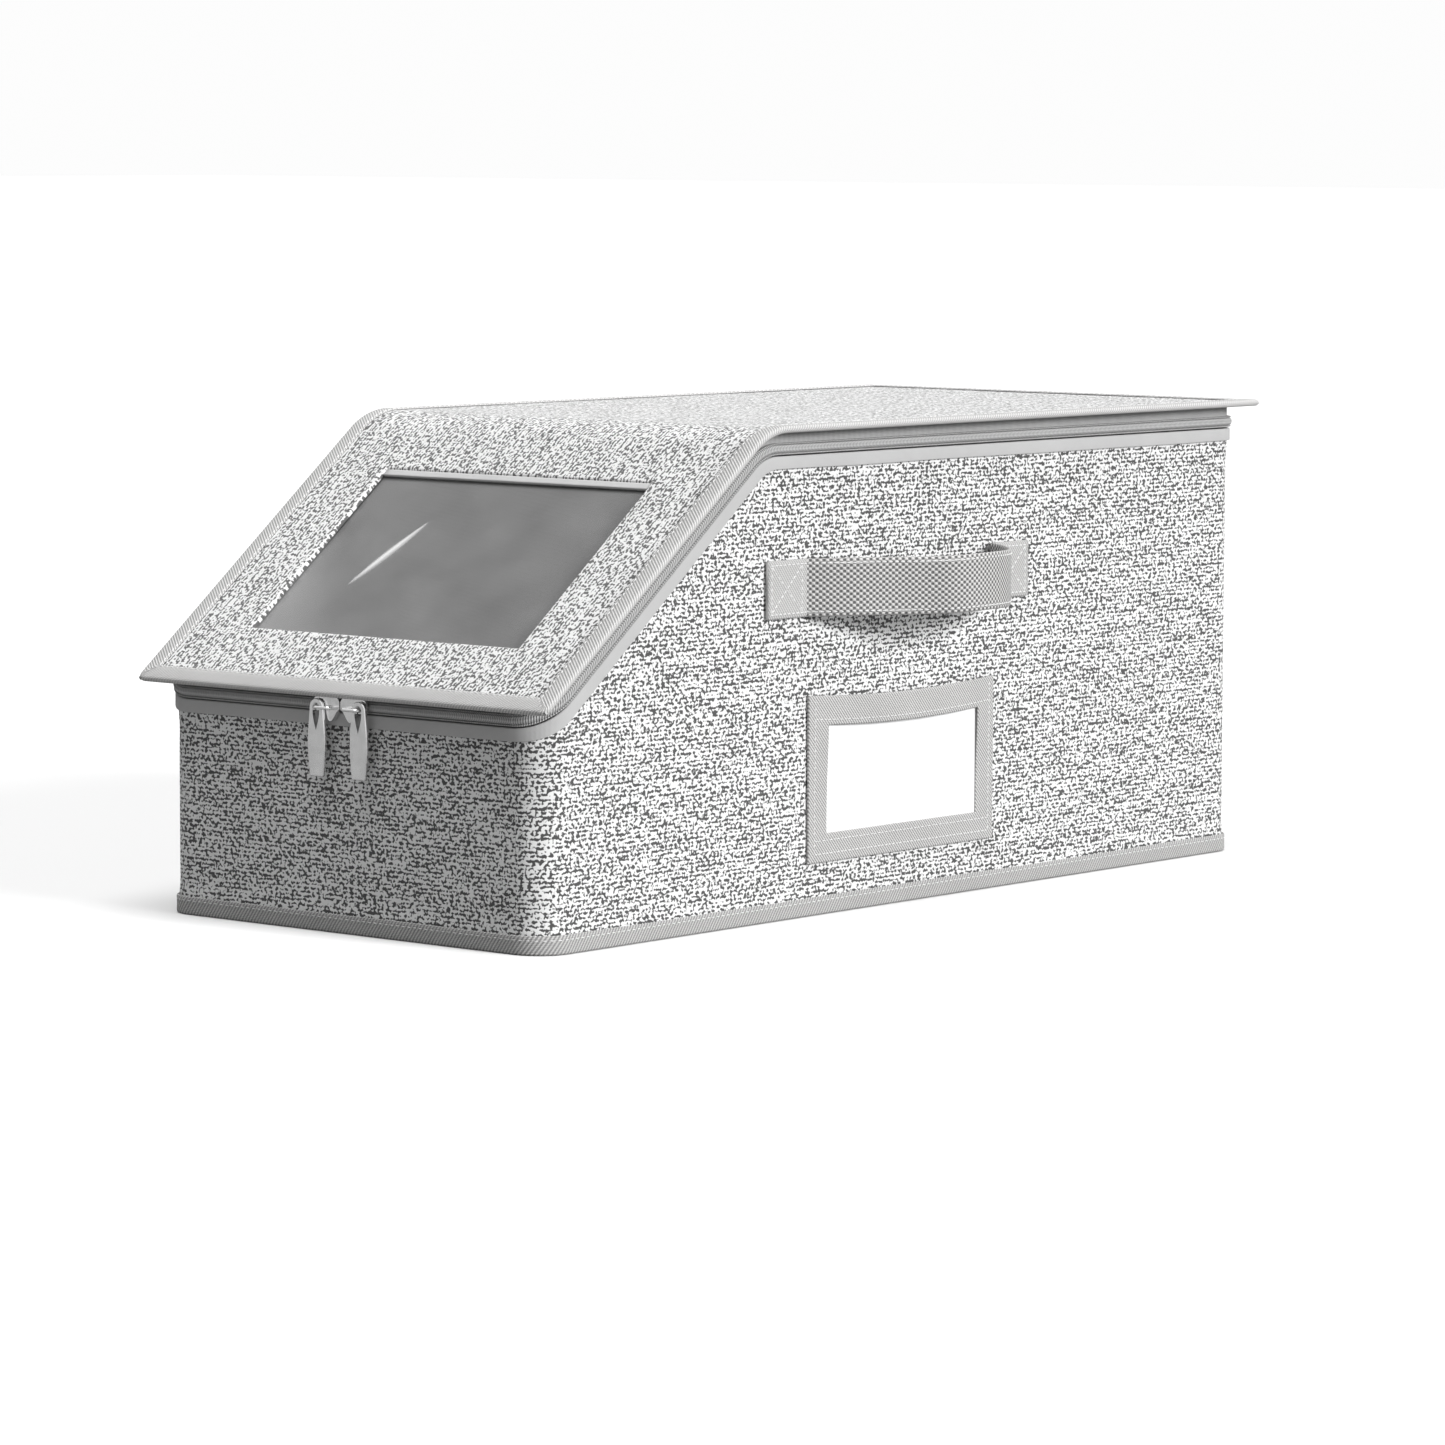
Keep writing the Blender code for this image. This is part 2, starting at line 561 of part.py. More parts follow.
def build_slider(name, side):
    """A slider's outer half: a shouldered plate with lips over the chain, and a bridge."""
    nickel = paint(name, (0.75, 0.75, 0.76), 0.25, metallic=1.0)
    chain_face = SEAT_GAP - ZIP_TAPE_BEHIND + CHAIN_BULGE
    chain_level = float(skin_height(FRONT_Y, 0.0)) - CHAIN_FRONT - CHAIN_WIDTH / 2.0
    inner = FRONT_Y - chain_face - SEAT_GAP
    outer = inner - SLIDER_PLATE
    tops = smooth_rows(SLIDER_SHOULDER, "along", "above", 2)
    lobes = smooth_rows(SLIDER_SHOULDER, "along", "below", 2)
    start = MEETING_X + side * SEAT_GAP
    axis_level = chain_level - PULL_BELOW_CHAIN
    upper = [(start + side * along * SLIDER_LENGTH, axis_level + rise * SLIDER_ABOVE)
             for along, rise in tops]
    lower = [(start + side * along * SLIDER_LENGTH, axis_level - drop * SLIDER_BELOW)
             for along, drop in reversed(lobes)]
    lip_back = FRONT_Y - SEAT_GAP - BAND_CLOTH - SEAT_GAP
    body = prism(name, upper + lower, outer, lip_back, nickel, smooth=True)

    channel_half = CHAIN_WIDTH / 2.0 + SEAT_GAP
    reach = SLIDER_LENGTH + 2.0 * SLIDER_LIP
    box = [(MEETING_X - reach, chain_level - channel_half), (MEETING_X + reach, chain_level - channel_half),
           (MEETING_X + reach, chain_level + channel_half), (MEETING_X - reach, chain_level + channel_half)]
    channel = prism(name + "_channel", box, inner, FRONT_Y + SLIDER_LIP, nickel)
    combine(body, channel, "DIFFERENCE")

    post_x = MEETING_X + side * POST_OUT
    foot_x = MEETING_X + side * BRIDGE_FOOT
    bar_y = outer - 2.0 * PULL_CLEAR - PULL_PLATE - BRIDGE_RADIUS
    sunk_y = (inner + outer) / 2.0
    round_off = BRIDGE_RADIUS * 0.9
    path = [(post_x, sunk_y, axis_level), (post_x, bar_y + round_off, axis_level),
            (post_x - side * round_off * 0.3, bar_y + round_off * 0.3, axis_level),
            (post_x - side * round_off, bar_y, axis_level), (foot_x + side * round_off, bar_y, axis_level),
            (foot_x + side * round_off * 0.3, bar_y + round_off * 0.3, axis_level),
            (foot_x, bar_y + round_off, axis_level), (foot_x, sunk_y, axis_level)]
    radii = [POST_RADIUS, POST_RADIUS * 0.95] + [BRIDGE_RADIUS] * 5 + [POST_RADIUS]
    bridge = build_bridge(name + "_bridge", path, radii, nickel)
    combine(body, bridge, "UNION")


def build_pull(name, side):
    """A pull tab that hangs on its bridge's outer post, with its origin on that post."""
    nickel = paint(name, (0.75, 0.75, 0.76), 0.25, metallic=1.0)
    chain_face = SEAT_GAP - ZIP_TAPE_BEHIND + CHAIN_BULGE
    chain_level = float(skin_height(FRONT_Y, 0.0)) - CHAIN_FRONT - CHAIN_WIDTH / 2.0
    back = FRONT_Y - chain_face - SEAT_GAP - SLIDER_PLATE - PULL_CLEAR
    axis = (MEETING_X + side * POST_OUT, back - PULL_PLATE / 2.0, chain_level - PULL_BELOW_CHAIN)
    below = PULL_LENGTH - PULL_HEAD
    flank = smooth_rows(PULL_SIDE, "down", "half", 2)
    right = [(half * PULL_WIDTH, -down * below) for down, half in flank]
    head = [(PULL_SIDE[0]["half"] * PULL_WIDTH * math.cos(a), PULL_HEAD * math.sin(a))
            for a in np.linspace(math.pi, 0.0, 11)[1:-1]]
    outline = right[::-1] + head[::-1] + [(-x, z) for x, z in right]
    outline = [(axis[0] + x, axis[2] + z) for x, z in outline]
    tab = prism(name, outline, back - PULL_PLATE, back, nickel, origin=axis, smooth=True)
    edge = tab.modifiers.new("soft_rim", "BEVEL")
    edge.width = 0.35 * MM
    edge.segments = 1
    edge.limit_method = "ANGLE"
    edge.angle_limit = math.radians(60.0)

    drop = smooth_rows(PULL_TEARDROP, "down", "half", 2)
    right = [(half * PULL_HOLE, -down * PULL_HOLE_DROP) for down, half in drop]
    arc = [(PULL_HOLE * math.cos(a), PULL_HOLE * math.sin(a)) for a in np.linspace(0.0, math.pi, 9)[1:-1]]
    hole = right[::-1] + arc + [(-x, z) for x, z in right] + [(0.0, -PULL_HOLE_DROP)]
    hole = [(axis[0] + x, axis[2] + z) for x, z in hole]
    cutter = prism(name + "_hole", hole, back - 2.0 * PULL_PLATE, back + PULL_PLATE, nickel, origin=axis)
    combine(tab, cutter, "DIFFERENCE")


def main():
    """Clear the scene and build every piece of the case."""
    for item in list(bpy.data.objects):
        bpy.data.objects.remove(item)
    build_walls()
    build_foot()
    build_zip()
    build_lid()
    build_handle("handle_right", 1)
    build_handle("handle_left", -1)
    build_label()
    for name, side in (("left", -1), ("right", 1)):
        build_slider("slider_" + name, side)
        build_pull("pull_" + name, side)


main()
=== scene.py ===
# %% [markdown]
# # A storage case for caps, dressed in cloth
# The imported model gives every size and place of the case. This lesson dresses it: each soft
# piece becomes a finely divided surface with the weave, ribs, folds and stitches that cloth has,
# and each hard piece gets its own finish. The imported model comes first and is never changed.

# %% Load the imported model
import math

import bpy
import numpy as np
from mathutils import Matrix


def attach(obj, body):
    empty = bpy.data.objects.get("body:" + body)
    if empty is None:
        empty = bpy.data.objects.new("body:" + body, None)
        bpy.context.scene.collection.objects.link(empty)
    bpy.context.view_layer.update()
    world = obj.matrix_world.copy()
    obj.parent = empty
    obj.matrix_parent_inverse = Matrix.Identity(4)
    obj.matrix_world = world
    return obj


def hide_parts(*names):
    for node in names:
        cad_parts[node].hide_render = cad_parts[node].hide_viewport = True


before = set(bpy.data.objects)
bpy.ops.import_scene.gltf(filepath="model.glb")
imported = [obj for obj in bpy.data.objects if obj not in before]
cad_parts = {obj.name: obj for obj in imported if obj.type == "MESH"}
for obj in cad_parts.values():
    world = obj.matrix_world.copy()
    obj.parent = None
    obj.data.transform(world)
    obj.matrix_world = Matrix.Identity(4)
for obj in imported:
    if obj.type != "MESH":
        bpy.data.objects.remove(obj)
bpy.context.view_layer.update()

print("nodes in the packed model:", len(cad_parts))

# %% [markdown]
# ## Sizes that the cloth follows
# Cloth has to sit where the boards and seams are, so the same few sizes as in the model are
# written down once, in millimetres. Meshes are turned into metres in a single place.

# %% Sizes in millimetres
MM = 0.001
HALF_WIDTH, HALF_LENGTH, CORNER = 115.0, 260.0, 16.0
OVERHANG, OVERHANG_REAR = 9.0, 6.0
MIDDLE_Y = (OVERHANG - OVERHANG_REAR) / 2.0
FRONT_Y, REAR_Y = MIDDLE_Y - HALF_LENGTH, MIDDLE_Y + HALF_LENGTH
LID_HEIGHT, NOSE_HEIGHT, SLOPE, BEND_RADIUS = 224.0, 107.3, math.radians(37.5), 40.0
NOSE_Y = FRONT_Y - OVERHANG
FOLD_Y = NOSE_Y + (LID_HEIGHT - NOSE_HEIGHT) / math.tan(SLOPE)
BEND_CENTRE_Y = FOLD_Y + BEND_RADIUS * math.tan(SLOPE / 2.0)
SLOPE_RUN = (FOLD_Y - NOSE_Y) / math.cos(SLOPE) - BEND_RADIUS * math.tan(SLOPE / 2.0)
BEND_RUN = BEND_RADIUS * SLOPE
LID_RUN = SLOPE_RUN + BEND_RUN + REAR_Y + OVERHANG_REAR - BEND_CENTRE_Y
HALF_LID = HALF_WIDTH + OVERHANG
LID_EDGE = 3.1
WINDOW_HALF, WINDOW_LOW, WINDOW_HIGH = 80.5, 39.5, 151.5
CHAIN_SIDE, CHAIN_FRONT, CHAIN_WIDTH = 8.0, 9.8, 5.4
BAND_SIDE, BAND_FRONT, BAND_WIDTH = CHAIN_SIDE + CHAIN_WIDTH + 0.6, CHAIN_FRONT + CHAIN_WIDTH + 0.6, 6.0
FLOOR_LEVEL, FOOT_HEIGHT = 1.0, 8.2
print("run along the lid from nose to rear:", round(LID_RUN, 1), "mm")


# %% [markdown]
# ## The two curves that give the case its shape
# Seen from the side, the lid is a straight slope, a round bend and a level top. The walls'
# upper edge, the zip and the band all run at a set distance below it. One function gives the
# height of such a curve, and another folds a flat pattern of the lid to its place, so that
# cloth laid out flat keeps its length when it goes over the bend.

# %% Curves of the case
def skin_height(y, depth):
    """Height of the curve that lies `depth` under the lid's face: level behind the bend, an
    arc about the bend's centre in it, and the slope's line lowered by depth over cos(slope)."""
    radius = BEND_RADIUS - depth
    start = BEND_CENTRE_Y - radius * math.sin(SLOPE)
    line = NOSE_HEIGHT + (y - NOSE_Y) * math.tan(SLOPE) - depth / math.cos(SLOPE)
    arc = LID_HEIGHT - BEND_RADIUS + np.sqrt(np.clip(radius ** 2 - (BEND_CENTRE_Y - y) ** 2, 0.0, None))
    return np.where(y >= BEND_CENTRE_Y, LID_HEIGHT - depth, np.where(y <= start, line, arc))


def fold(run, depth):
    """Fold the flat pattern: `run` is measured from the nose along the lid's face, and the
    angle of the lid falls from the slope to zero over the bend in proportion to the run."""
    lean = SLOPE - np.clip((run - SLOPE_RUN) / BEND_RADIUS, 0.0, SLOPE)
    arc_y = BEND_CENTRE_Y - BEND_RADIUS * np.sin(lean)
    arc_z = LID_HEIGHT - BEND_RADIUS + BEND_RADIUS * np.cos(lean)
    flat_y = BEND_CENTRE_Y + (run - SLOPE_RUN - BEND_RUN)
    y = np.where(run <= SLOPE_RUN, NOSE_Y + run * math.cos(SLOPE), np.where(lean > 0.0, arc_y, flat_y))
    beyond = np.where(lean > 0.0, arc_z, LID_HEIGHT)
    z = np.where(run <= SLOPE_RUN, NOSE_HEIGHT + run * math.sin(SLOPE), beyond)
    return y + np.sin(lean) * depth, z - np.cos(lean) * depth


def smooth_step(x):
    """A soft ramp from 0 to 1: three x squared minus two x cubed, held outside 0 to 1."""
    x = np.clip(x, 0.0, 1.0)
    return x * x * (3.0 - 2.0 * x)


def ripple(u, v, seed, size):
    """A gentle waviness from -1 to 1: a mean of six sine waves of unlike directions."""
    chance = np.random.default_rng(seed)
    total = 0.0
    for _ in range(6):
        turn, phase = chance.uniform(0.0, 2.0 * math.pi, 2)
        length = size * chance.uniform(0.6, 1.6)
        total = total + np.sin(2.0 * math.pi * (u * math.cos(turn) + v * math.sin(turn)) / length + phase)
    return total / 6.0


# %% [markdown]
# ## Making meshes from grids
# Every cloth piece here is a grid of points that is worked out as one array. A helper turns
# the grid into quads, closes it where it goes round, and stores how far each point lies along
# the cloth as a UV map in metres, so that a weave follows the cloth and keeps its real scale.

# %% Mesh helpers
def finish_mesh(name, points, faces, uv, material, node_names, body="case", smooth=True):
    """Put points (mm) and quads in a mesh, turn its faces outwards and tie it to its body."""
    mesh = bpy.data.meshes.new(name)
    points = points.reshape(-1, 3) * MM
    faces = faces.reshape(-1, 4)
    corner = points[faces]
    volume = np.einsum("ij,ij->i", np.cross(corner[:, 0], corner[:, 1]), corner[:, 2]).sum()
    volume += np.einsum("ij,ij->i", np.cross(corner[:, 0], corner[:, 2]), corner[:, 3]).sum()
    if volume < 0.0:
        faces = faces[:, ::-1]
        uv = uv.reshape(-1, 4, 2)[:, ::-1]
    mesh.vertices.add(len(points))
    mesh.vertices.foreach_set("co", points.ravel())
    mesh.loops.add(faces.size)
    mesh.loops.foreach_set("vertex_index", faces.ravel().astype(np.int32))
    mesh.polygons.add(len(faces))
    mesh.polygons.foreach_set("loop_start", np.arange(0, faces.size, 4, dtype=np.int32))
    mesh.polygons.foreach_set("use_smooth", np.full(len(faces), smooth))
    mesh.update(calc_edges=True)
    layer = mesh.uv_layers.new(name="cloth")
    layer.data.foreach_set("uv", (uv * MM).ravel())
    mesh.validate()
    mesh.materials.append(material)
    piece = bpy.data.objects.new(name, mesh)
    bpy.context.scene.collection.objects.link(piece)
    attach(piece, body)
    if node_names:
        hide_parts(*node_names)
    print(name, "has", len(faces), "faces")
    return piece


def tube_quads(rows, columns, close_rows, close_columns):
    """Corner indices of a grid's quads, and the same corners counted without the wrap."""
    i = np.arange(rows if close_rows else rows - 1)[:, None]
    k = np.arange(columns if close_columns else columns - 1)[None, :]
    corners_i = np.stack([i + 0 * k, i + 1 + 0 * k, i + 1 + 0 * k, i + 0 * k], axis=-1)
    corners_k = np.stack([k + 0 * i, k + 0 * i, k + 1 + 0 * i, k + 1 + 0 * i], axis=-1)
    return (corners_i % rows) * columns + corners_k % columns, corners_i, corners_k


def ring_piece(name, points, along, across, material, node_names, body="case"):
    """A closed ring: points[station, section, xyz]. along and across are the cloth's lengths
    at each station and at each section point, with one extra value that closes the round."""
    rows, columns = points.shape[:2]
    faces, corners_i, corners_k = tube_quads(rows, columns, True, True)
    uv = np.stack([along[corners_i], across[corners_k]], axis=-1)
    return finish_mesh(name, points, faces, uv, material, node_names, body)


def slab_piece(name, place, u, v, keep, top, bottom, material, node_names, body="case"):
    """A sheet with thickness over a grid of u by v, kept only where `keep` is true.

    `place(u, v, depth)` gives the point of the sheet. The upper and lower sheets are joined
    by a strip of quads along every edge between a kept cell and one that is left out.
    """
    gu, gv = np.meshgrid(u, v, indexing="ij")
    sheets = np.stack([place(gu, gv, top(gu, gv)), place(gu, gv, bottom(gu, gv))])
    rows, columns = gu.shape
    index = np.arange(rows * columns).reshape(rows, columns)
    quads = np.stack([index[:-1, :-1], index[1:, :-1], index[1:, 1:], index[:-1, 1:]], axis=-1)
    upper = quads[keep]
    parts = [upper, upper[:, ::-1] + rows * columns]
    framed = np.pad(keep, 1)
    for shift_u, shift_v, a, b in ((-1, 0, 3, 0), (1, 0, 1, 2), (0, -1, 0, 1), (0, 1, 2, 3)):
        beside = framed[1 + shift_u:rows + shift_u, 1 + shift_v:columns + shift_v]
        edge = quads[keep & ~beside]
        parts.append(np.stack([edge[:, b], edge[:, a], edge[:, a] + rows * columns,
                               edge[:, b] + rows * columns], axis=-1))
    faces = np.concatenate(parts)
    flat = np.stack([gu.ravel(), gv.ravel()], axis=-1)
    uv = np.concatenate([flat, flat])[faces]
    used, faces = np.unique(faces, return_inverse=True)
    points = sheets.reshape(-1, 3)[used]
    return finish_mesh(name, points, faces.reshape(-1, 4), uv, material, node_names, body)


# %% [markdown]
# ## The walls' outline as a path
# All the rings of the case follow a rounded rectangle, and so does the lid's flat outline. It is
# laid out as stations with a point and the direction that faces out. A ring then only needs to
# say how far out and how high each point of its section lies.

# %% Stations round the walls
def round_stations(half_x, half_y, middle_y, radius, spacing, corner_steps):
    """Points on a rounded rectangle: straight runs a spacing apart, and arcs in equal turns."""
    xs, ys, turns = [], [], []
    straight_x, straight_y = half_x - radius, half_y - radius
    corners = [(1, -1, -90.0), (1, 1, 0.0), (-1, 1, 90.0), (-1, -1, 180.0)]
    for (sx, sy, start), (tx, ty, _) in zip(corners, corners[1:] + corners[:1]):
        angle = np.radians(start + np.linspace(0.0, 90.0, corner_steps + 1))
        xs.append(sx * straight_x + radius * np.cos(angle))
        ys.append(middle_y + sy * straight_y + radius * np.sin(angle))
        turns.append(angle)
        run = abs(tx - sx) * straight_x + abs(ty - sy) * straight_y
        steps = max(2, round(run / spacing))
        share = np.arange(1, steps) / steps
        xs.append(xs[-1][-1] + (tx - sx) * straight_x * share)
        ys.append(ys[-1][-1] + (ty - sy) * straight_y * share)
        turns.append(np.full(steps - 1, angle[-1]))
    x, y = np.concatenate(xs), np.concatenate(ys)
    step = np.hypot(np.diff(np.append(x, x[0])), np.diff(np.append(y, y[0])))
    along = np.concatenate([[0.0], np.cumsum(step)])
    return x, y, np.concatenate(turns), along


LOOP_X, LOOP_Y, LOOP_TURN, ALONG = round_stations(HALF_WIDTH, HALF_LENGTH, MIDDLE_Y, CORNER, 3.0, 12)
OUT_X, OUT_Y = np.cos(LOOP_TURN), np.sin(LOOP_TURN)
FACING = np.clip(-OUT_Y, 0.0, 1.0) ** 2
print("stations round the walls:", len(LOOP_X), "over", round(ALONG[-1]), "mm")


def below_lid(side, front):
    """Levels that run square under the lid on the sides, and straight under it at the front."""
    on_side = skin_height(LOOP_Y, side)
    on_front = skin_height(LOOP_Y, 0.0) - front
    return on_side * (1.0 - FACING) + on_front * FACING


def carry_round(out, level):
    """Points of a section carried round the walls: out and level are [station, section]."""
    out = np.broadcast_to(out, level.shape)
    return np.stack([LOOP_X[:, None] + OUT_X[:, None] * out, LOOP_Y[:, None] + OUT_Y[:, None] * out, level],
                    axis=-1)


# %% [markdown]
# ## Node helpers
# Cloth finishes differ in colour and scale but share their build: yarns, ribs and wear. The
# helpers below add a node, fill its inputs and link it in one line, so that the groups
# that follow read like the recipe of the cloth.

# %% Node helpers
def add_node(tree, kind, inputs=None, **settings):
    """Add a node, set its properties and fill or link its inputs."""
    node = tree.nodes.new(kind)
    for key, value in settings.items():
        setattr(node, key, value)
    for slot, value in (inputs or {}).items():
        if isinstance(value, bpy.types.NodeSocket):
            tree.links.new(value, node.inputs[slot])
        else:
            node.inputs[slot].default_value = value
    return node


def calc(tree, operation, *values):
    """One step of arithmetic in a node tree."""
    return add_node(tree, "ShaderNodeMath", dict(enumerate(values)), operation=operation).outputs[0]


def blend_colour(tree, share, first, second):
    """A colour between two colours, by a share from 0 to 1."""
    node = add_node(tree, "ShaderNodeMix", data_type="RGBA")
    for slot, value in ((0, share), (6, first), (7, second)):
        if isinstance(value, bpy.types.NodeSocket):
            tree.links.new(value, node.inputs[slot])
        else:
            node.inputs[slot].default_value = value
    return node.outputs[2]


def ramp(tree, value, low, high):
    """A soft step of a value from 0 at low to 1 at high."""
    inputs = {0: value, 1: low, 2: high, 3: 0.0, 4: 1.0}
    return add_node(tree, "ShaderNodeMapRange", inputs, interpolation_type="SMOOTHSTEP").outputs[0]


def new_group(name, inputs, outputs):
    """A shader node group with named sockets. Returns it, its inputs and its outputs."""
    group = bpy.data.node_groups.new(name, "ShaderNodeTree")
    for label, kind, value in inputs:
        socket = group.interface.new_socket(label, in_out="INPUT", socket_type="NodeSocket" + kind)
        if value is not None:
            socket.default_value = value
    for label, kind in outputs:
        group.interface.new_socket(label, in_out="OUTPUT", socket_type="NodeSocket" + kind)
    return group, group.nodes.new("NodeGroupInput").outputs, group.nodes.new("NodeGroupOutput").inputs


def grey(level, warm=0.0):
    """A linear grey with an alpha, a touch warmer where asked."""
    return (level * (1.0 + warm), level, level * (1.0 - warm), 1.0)


# %% [markdown]
# ## Three recipes of cloth
# **Tweed** has pale yarns crossed by short dark floats, so that the eye sees a maze of dashes
# and dots. **Ribbed tape** has fine ridges at one pitch and one slant, as on bindings, zip
# tapes and twill. **Metal wear** varies the gloss of plated metal. Each is a node group.

# %% The tweed group
def tweed_group():
    """Dark floats in rows. Each row is one weft yarn: a cosine across the rows keeps the dashes
    apart, and a noise that is drawn out along the row and differs from row to row breaks them
    into dashes and dots. A wide slanted noise gathers them into darker and paler patches."""
    inputs = [("Cloth", "Vector", None), ("Pale", "Color", grey(0.8)), ("Dark", "Color", grey(0.1)),
              ("Float length", "Float", 2.2), ("Row pitch", "Float", 1.9), ("Share", "Float", 0.4)]
    outputs = [("Colour", "Color"), ("Height", "Float"), ("Roughness", "Float")]
    group, given, result = new_group("tweed yarns", inputs, outputs)
    mm = add_node(group, "ShaderNodeVectorMath", {0: given["Cloth"], 3: 1000.0}, operation="SCALE").outputs[0]
    sway = add_node(group, "ShaderNodeTexNoise", {"Vector": mm, "Scale": 0.35, "Detail": 1.0}).outputs[0]
    apart = add_node(group, "ShaderNodeSeparateXYZ", {0: mm}).outputs
    across = calc(group, "ADD", apart[1], calc(group, "MULTIPLY", sway, 1.6))
    rows = calc(group, "DIVIDE", across, given["Row pitch"])
    line = calc(group, "COSINE", calc(group, "MULTIPLY", rows, 2.0 * math.pi))
    along = calc(group, "DIVIDE", apart[0], given["Float length"])
    point = add_node(group, "ShaderNodeCombineXYZ", {0: along, 1: calc(group, "MULTIPLY", rows, 0.9), 2: 0.0})
    drawn_out = {"Vector": point.outputs[0], "Scale": 1.0, "Detail": 1.0}
    dashes = add_node(group, "ShaderNodeTexNoise", drawn_out).outputs[0]
    dots = add_node(group, "ShaderNodeTexNoise", {"Vector": mm, "Scale": 0.75, "Detail": 1.0}).outputs[0]
    slanted = add_node(group, "ShaderNodeMapping", {"Vector": mm, "Rotation": (0.0, 0.0, math.radians(38.0)),
                                                    "Scale": (0.05, 0.16, 1.0)}).outputs[0]
    patch = add_node(group, "ShaderNodeTexNoise", {"Vector": slanted, "Scale": 1.0, "Detail": 2.0}).outputs[0]
    mixed = calc(group, "ADD", calc(group, "MULTIPLY", dashes, 0.5), calc(group, "MULTIPLY", dots, 0.38))
    mixed = calc(group, "ADD", mixed, calc(group, "MULTIPLY", patch, 0.12))
    mixed = calc(group, "SUBTRACT", mixed, calc(group, "MULTIPLY", line, 0.045))
    low = calc(group, "ADD", 0.39, calc(group, "MULTIPLY", given["Share"], 0.2))
    dark = calc(group, "SUBTRACT", 1.0, ramp(group, mixed, calc(group, "SUBTRACT", low, 0.03),
                                             calc(group, "ADD", low, 0.035)))
    warp = calc(group, "SINE", calc(group, "MULTIPLY", apart[0], 2.0 * math.pi / 0.8))
    weft = calc(group, "SINE", calc(group, "MULTIPLY", apart[1], 2.0 * math.pi / 0.55))
    weave = calc(group, "MULTIPLY", warp, weft)
    cloud = add_node(group, "ShaderNodeTexNoise", {"Vector": mm, "Scale": 0.03, "Detail": 3.0}).outputs[0]
    shade = calc(group, "ADD", 0.93, calc(group, "MULTIPLY", cloud, 0.14))
    pale = blend_colour(group, calc(group, "MULTIPLY", calc(group, "ADD", weave, 1.0), 0.06),
                        given["Pale"], grey(0.3))
    colour = blend_colour(group, dark, pale, given["Dark"])
    worn = add_node(group, "ShaderNodeVectorMath", {0: colour, 3: shade}, operation="SCALE").outputs[0]
    group.links.new(worn, result["Colour"])
    group.links.new(calc(group, "ADD", calc(group, "MULTIPLY", weave, 0.25),
                         calc(group, "MULTIPLY", dark, -0.5)), result["Height"])
    group.links.new(calc(group, "ADD", 0.86, calc(group, "MULTIPLY", dark, 0.08)), result["Roughness"])
    return group


# %% The ribbed cloth group
def ribbed_group():
    """Ridges are a sine of the distance across them, after a slant leans the cloth. Cross yarns
    are a second sine, which is added to the first, or multiplied with it for a basket weave."""
    inputs = [("Cloth", "Vector", None), ("Ridge", "Color", grey(0.6)), ("Groove", "Color", grey(0.3)),
              ("Pitch", "Float", 1.0), ("Slant", "Float", 0.0), ("Cross pitch", "Float", 0.6),
              ("Cross depth", "Float", 0.3), ("Basket", "Float", 0.0), ("Fleck", "Float", 0.2)]
    outputs = [("Colour", "Color"), ("Height", "Float"), ("Roughness", "Float")]
    group, given, result = new_group("ribbed cloth", inputs, outputs)
    mm = add_node(group, "ShaderNodeVectorMath", {0: given["Cloth"], 3: 1000.0}, operation="SCALE").outputs[0]
    apart = add_node(group, "ShaderNodeSeparateXYZ", {0: mm}).outputs
    leaning = calc(group, "ADD", apart[0], calc(group, "MULTIPLY", apart[1], given["Slant"]))
    ridge = calc(group, "SINE", calc(group, "MULTIPLY", calc(group, "DIVIDE", leaning, given["Pitch"]),
                                     2.0 * math.pi))
    cross = calc(group, "SINE", calc(group, "MULTIPLY", calc(group, "DIVIDE", apart[1], given["Cross pitch"]),
                                     2.0 * math.pi))
    ribs = calc(group, "ADD", calc(group, "MULTIPLY", ridge, 0.5),
                calc(group, "MULTIPLY", calc(group, "MULTIPLY", cross, 0.5), given["Cross depth"]))
    basket = calc(group, "MULTIPLY", calc(group, "MULTIPLY", ridge, cross), given["Basket"])
    plain = calc(group, "SUBTRACT", 1.0, given["Basket"])
    height = calc(group, "ADD", basket, calc(group, "MULTIPLY", ribs, plain))
    fleck = add_node(group, "ShaderNodeTexNoise", {"Vector": mm, "Scale": 1.4, "Detail": 2.0}).outputs[0]
    cloud = add_node(group, "ShaderNodeTexNoise", {"Vector": mm, "Scale": 0.05, "Detail": 2.0}).outputs[0]
    flecks = calc(group, "MULTIPLY", calc(group, "SUBTRACT", fleck, 0.5),
                  calc(group, "MULTIPLY", given["Fleck"], 4.0))
    level = calc(group, "ADD", ramp(group, height, -0.5, 0.5), flecks)
    colour = blend_colour(group, calc(group, "MINIMUM", calc(group, "MAXIMUM", level, 0.0), 1.0),
                          given["Groove"], given["Ridge"])
    shade = calc(group, "ADD", 0.94, calc(group, "MULTIPLY", cloud, 0.12))
    worn = add_node(group, "ShaderNodeVectorMath", {0: colour, 3: shade}, operation="SCALE").outputs[0]
    group.links.new(worn, result["Colour"])
    group.links.new(height, result["Height"])
    group.links.new(calc(group, "ADD", 0.8, calc(group, "MULTIPLY", fleck, 0.15)), result["Roughness"])
    return group


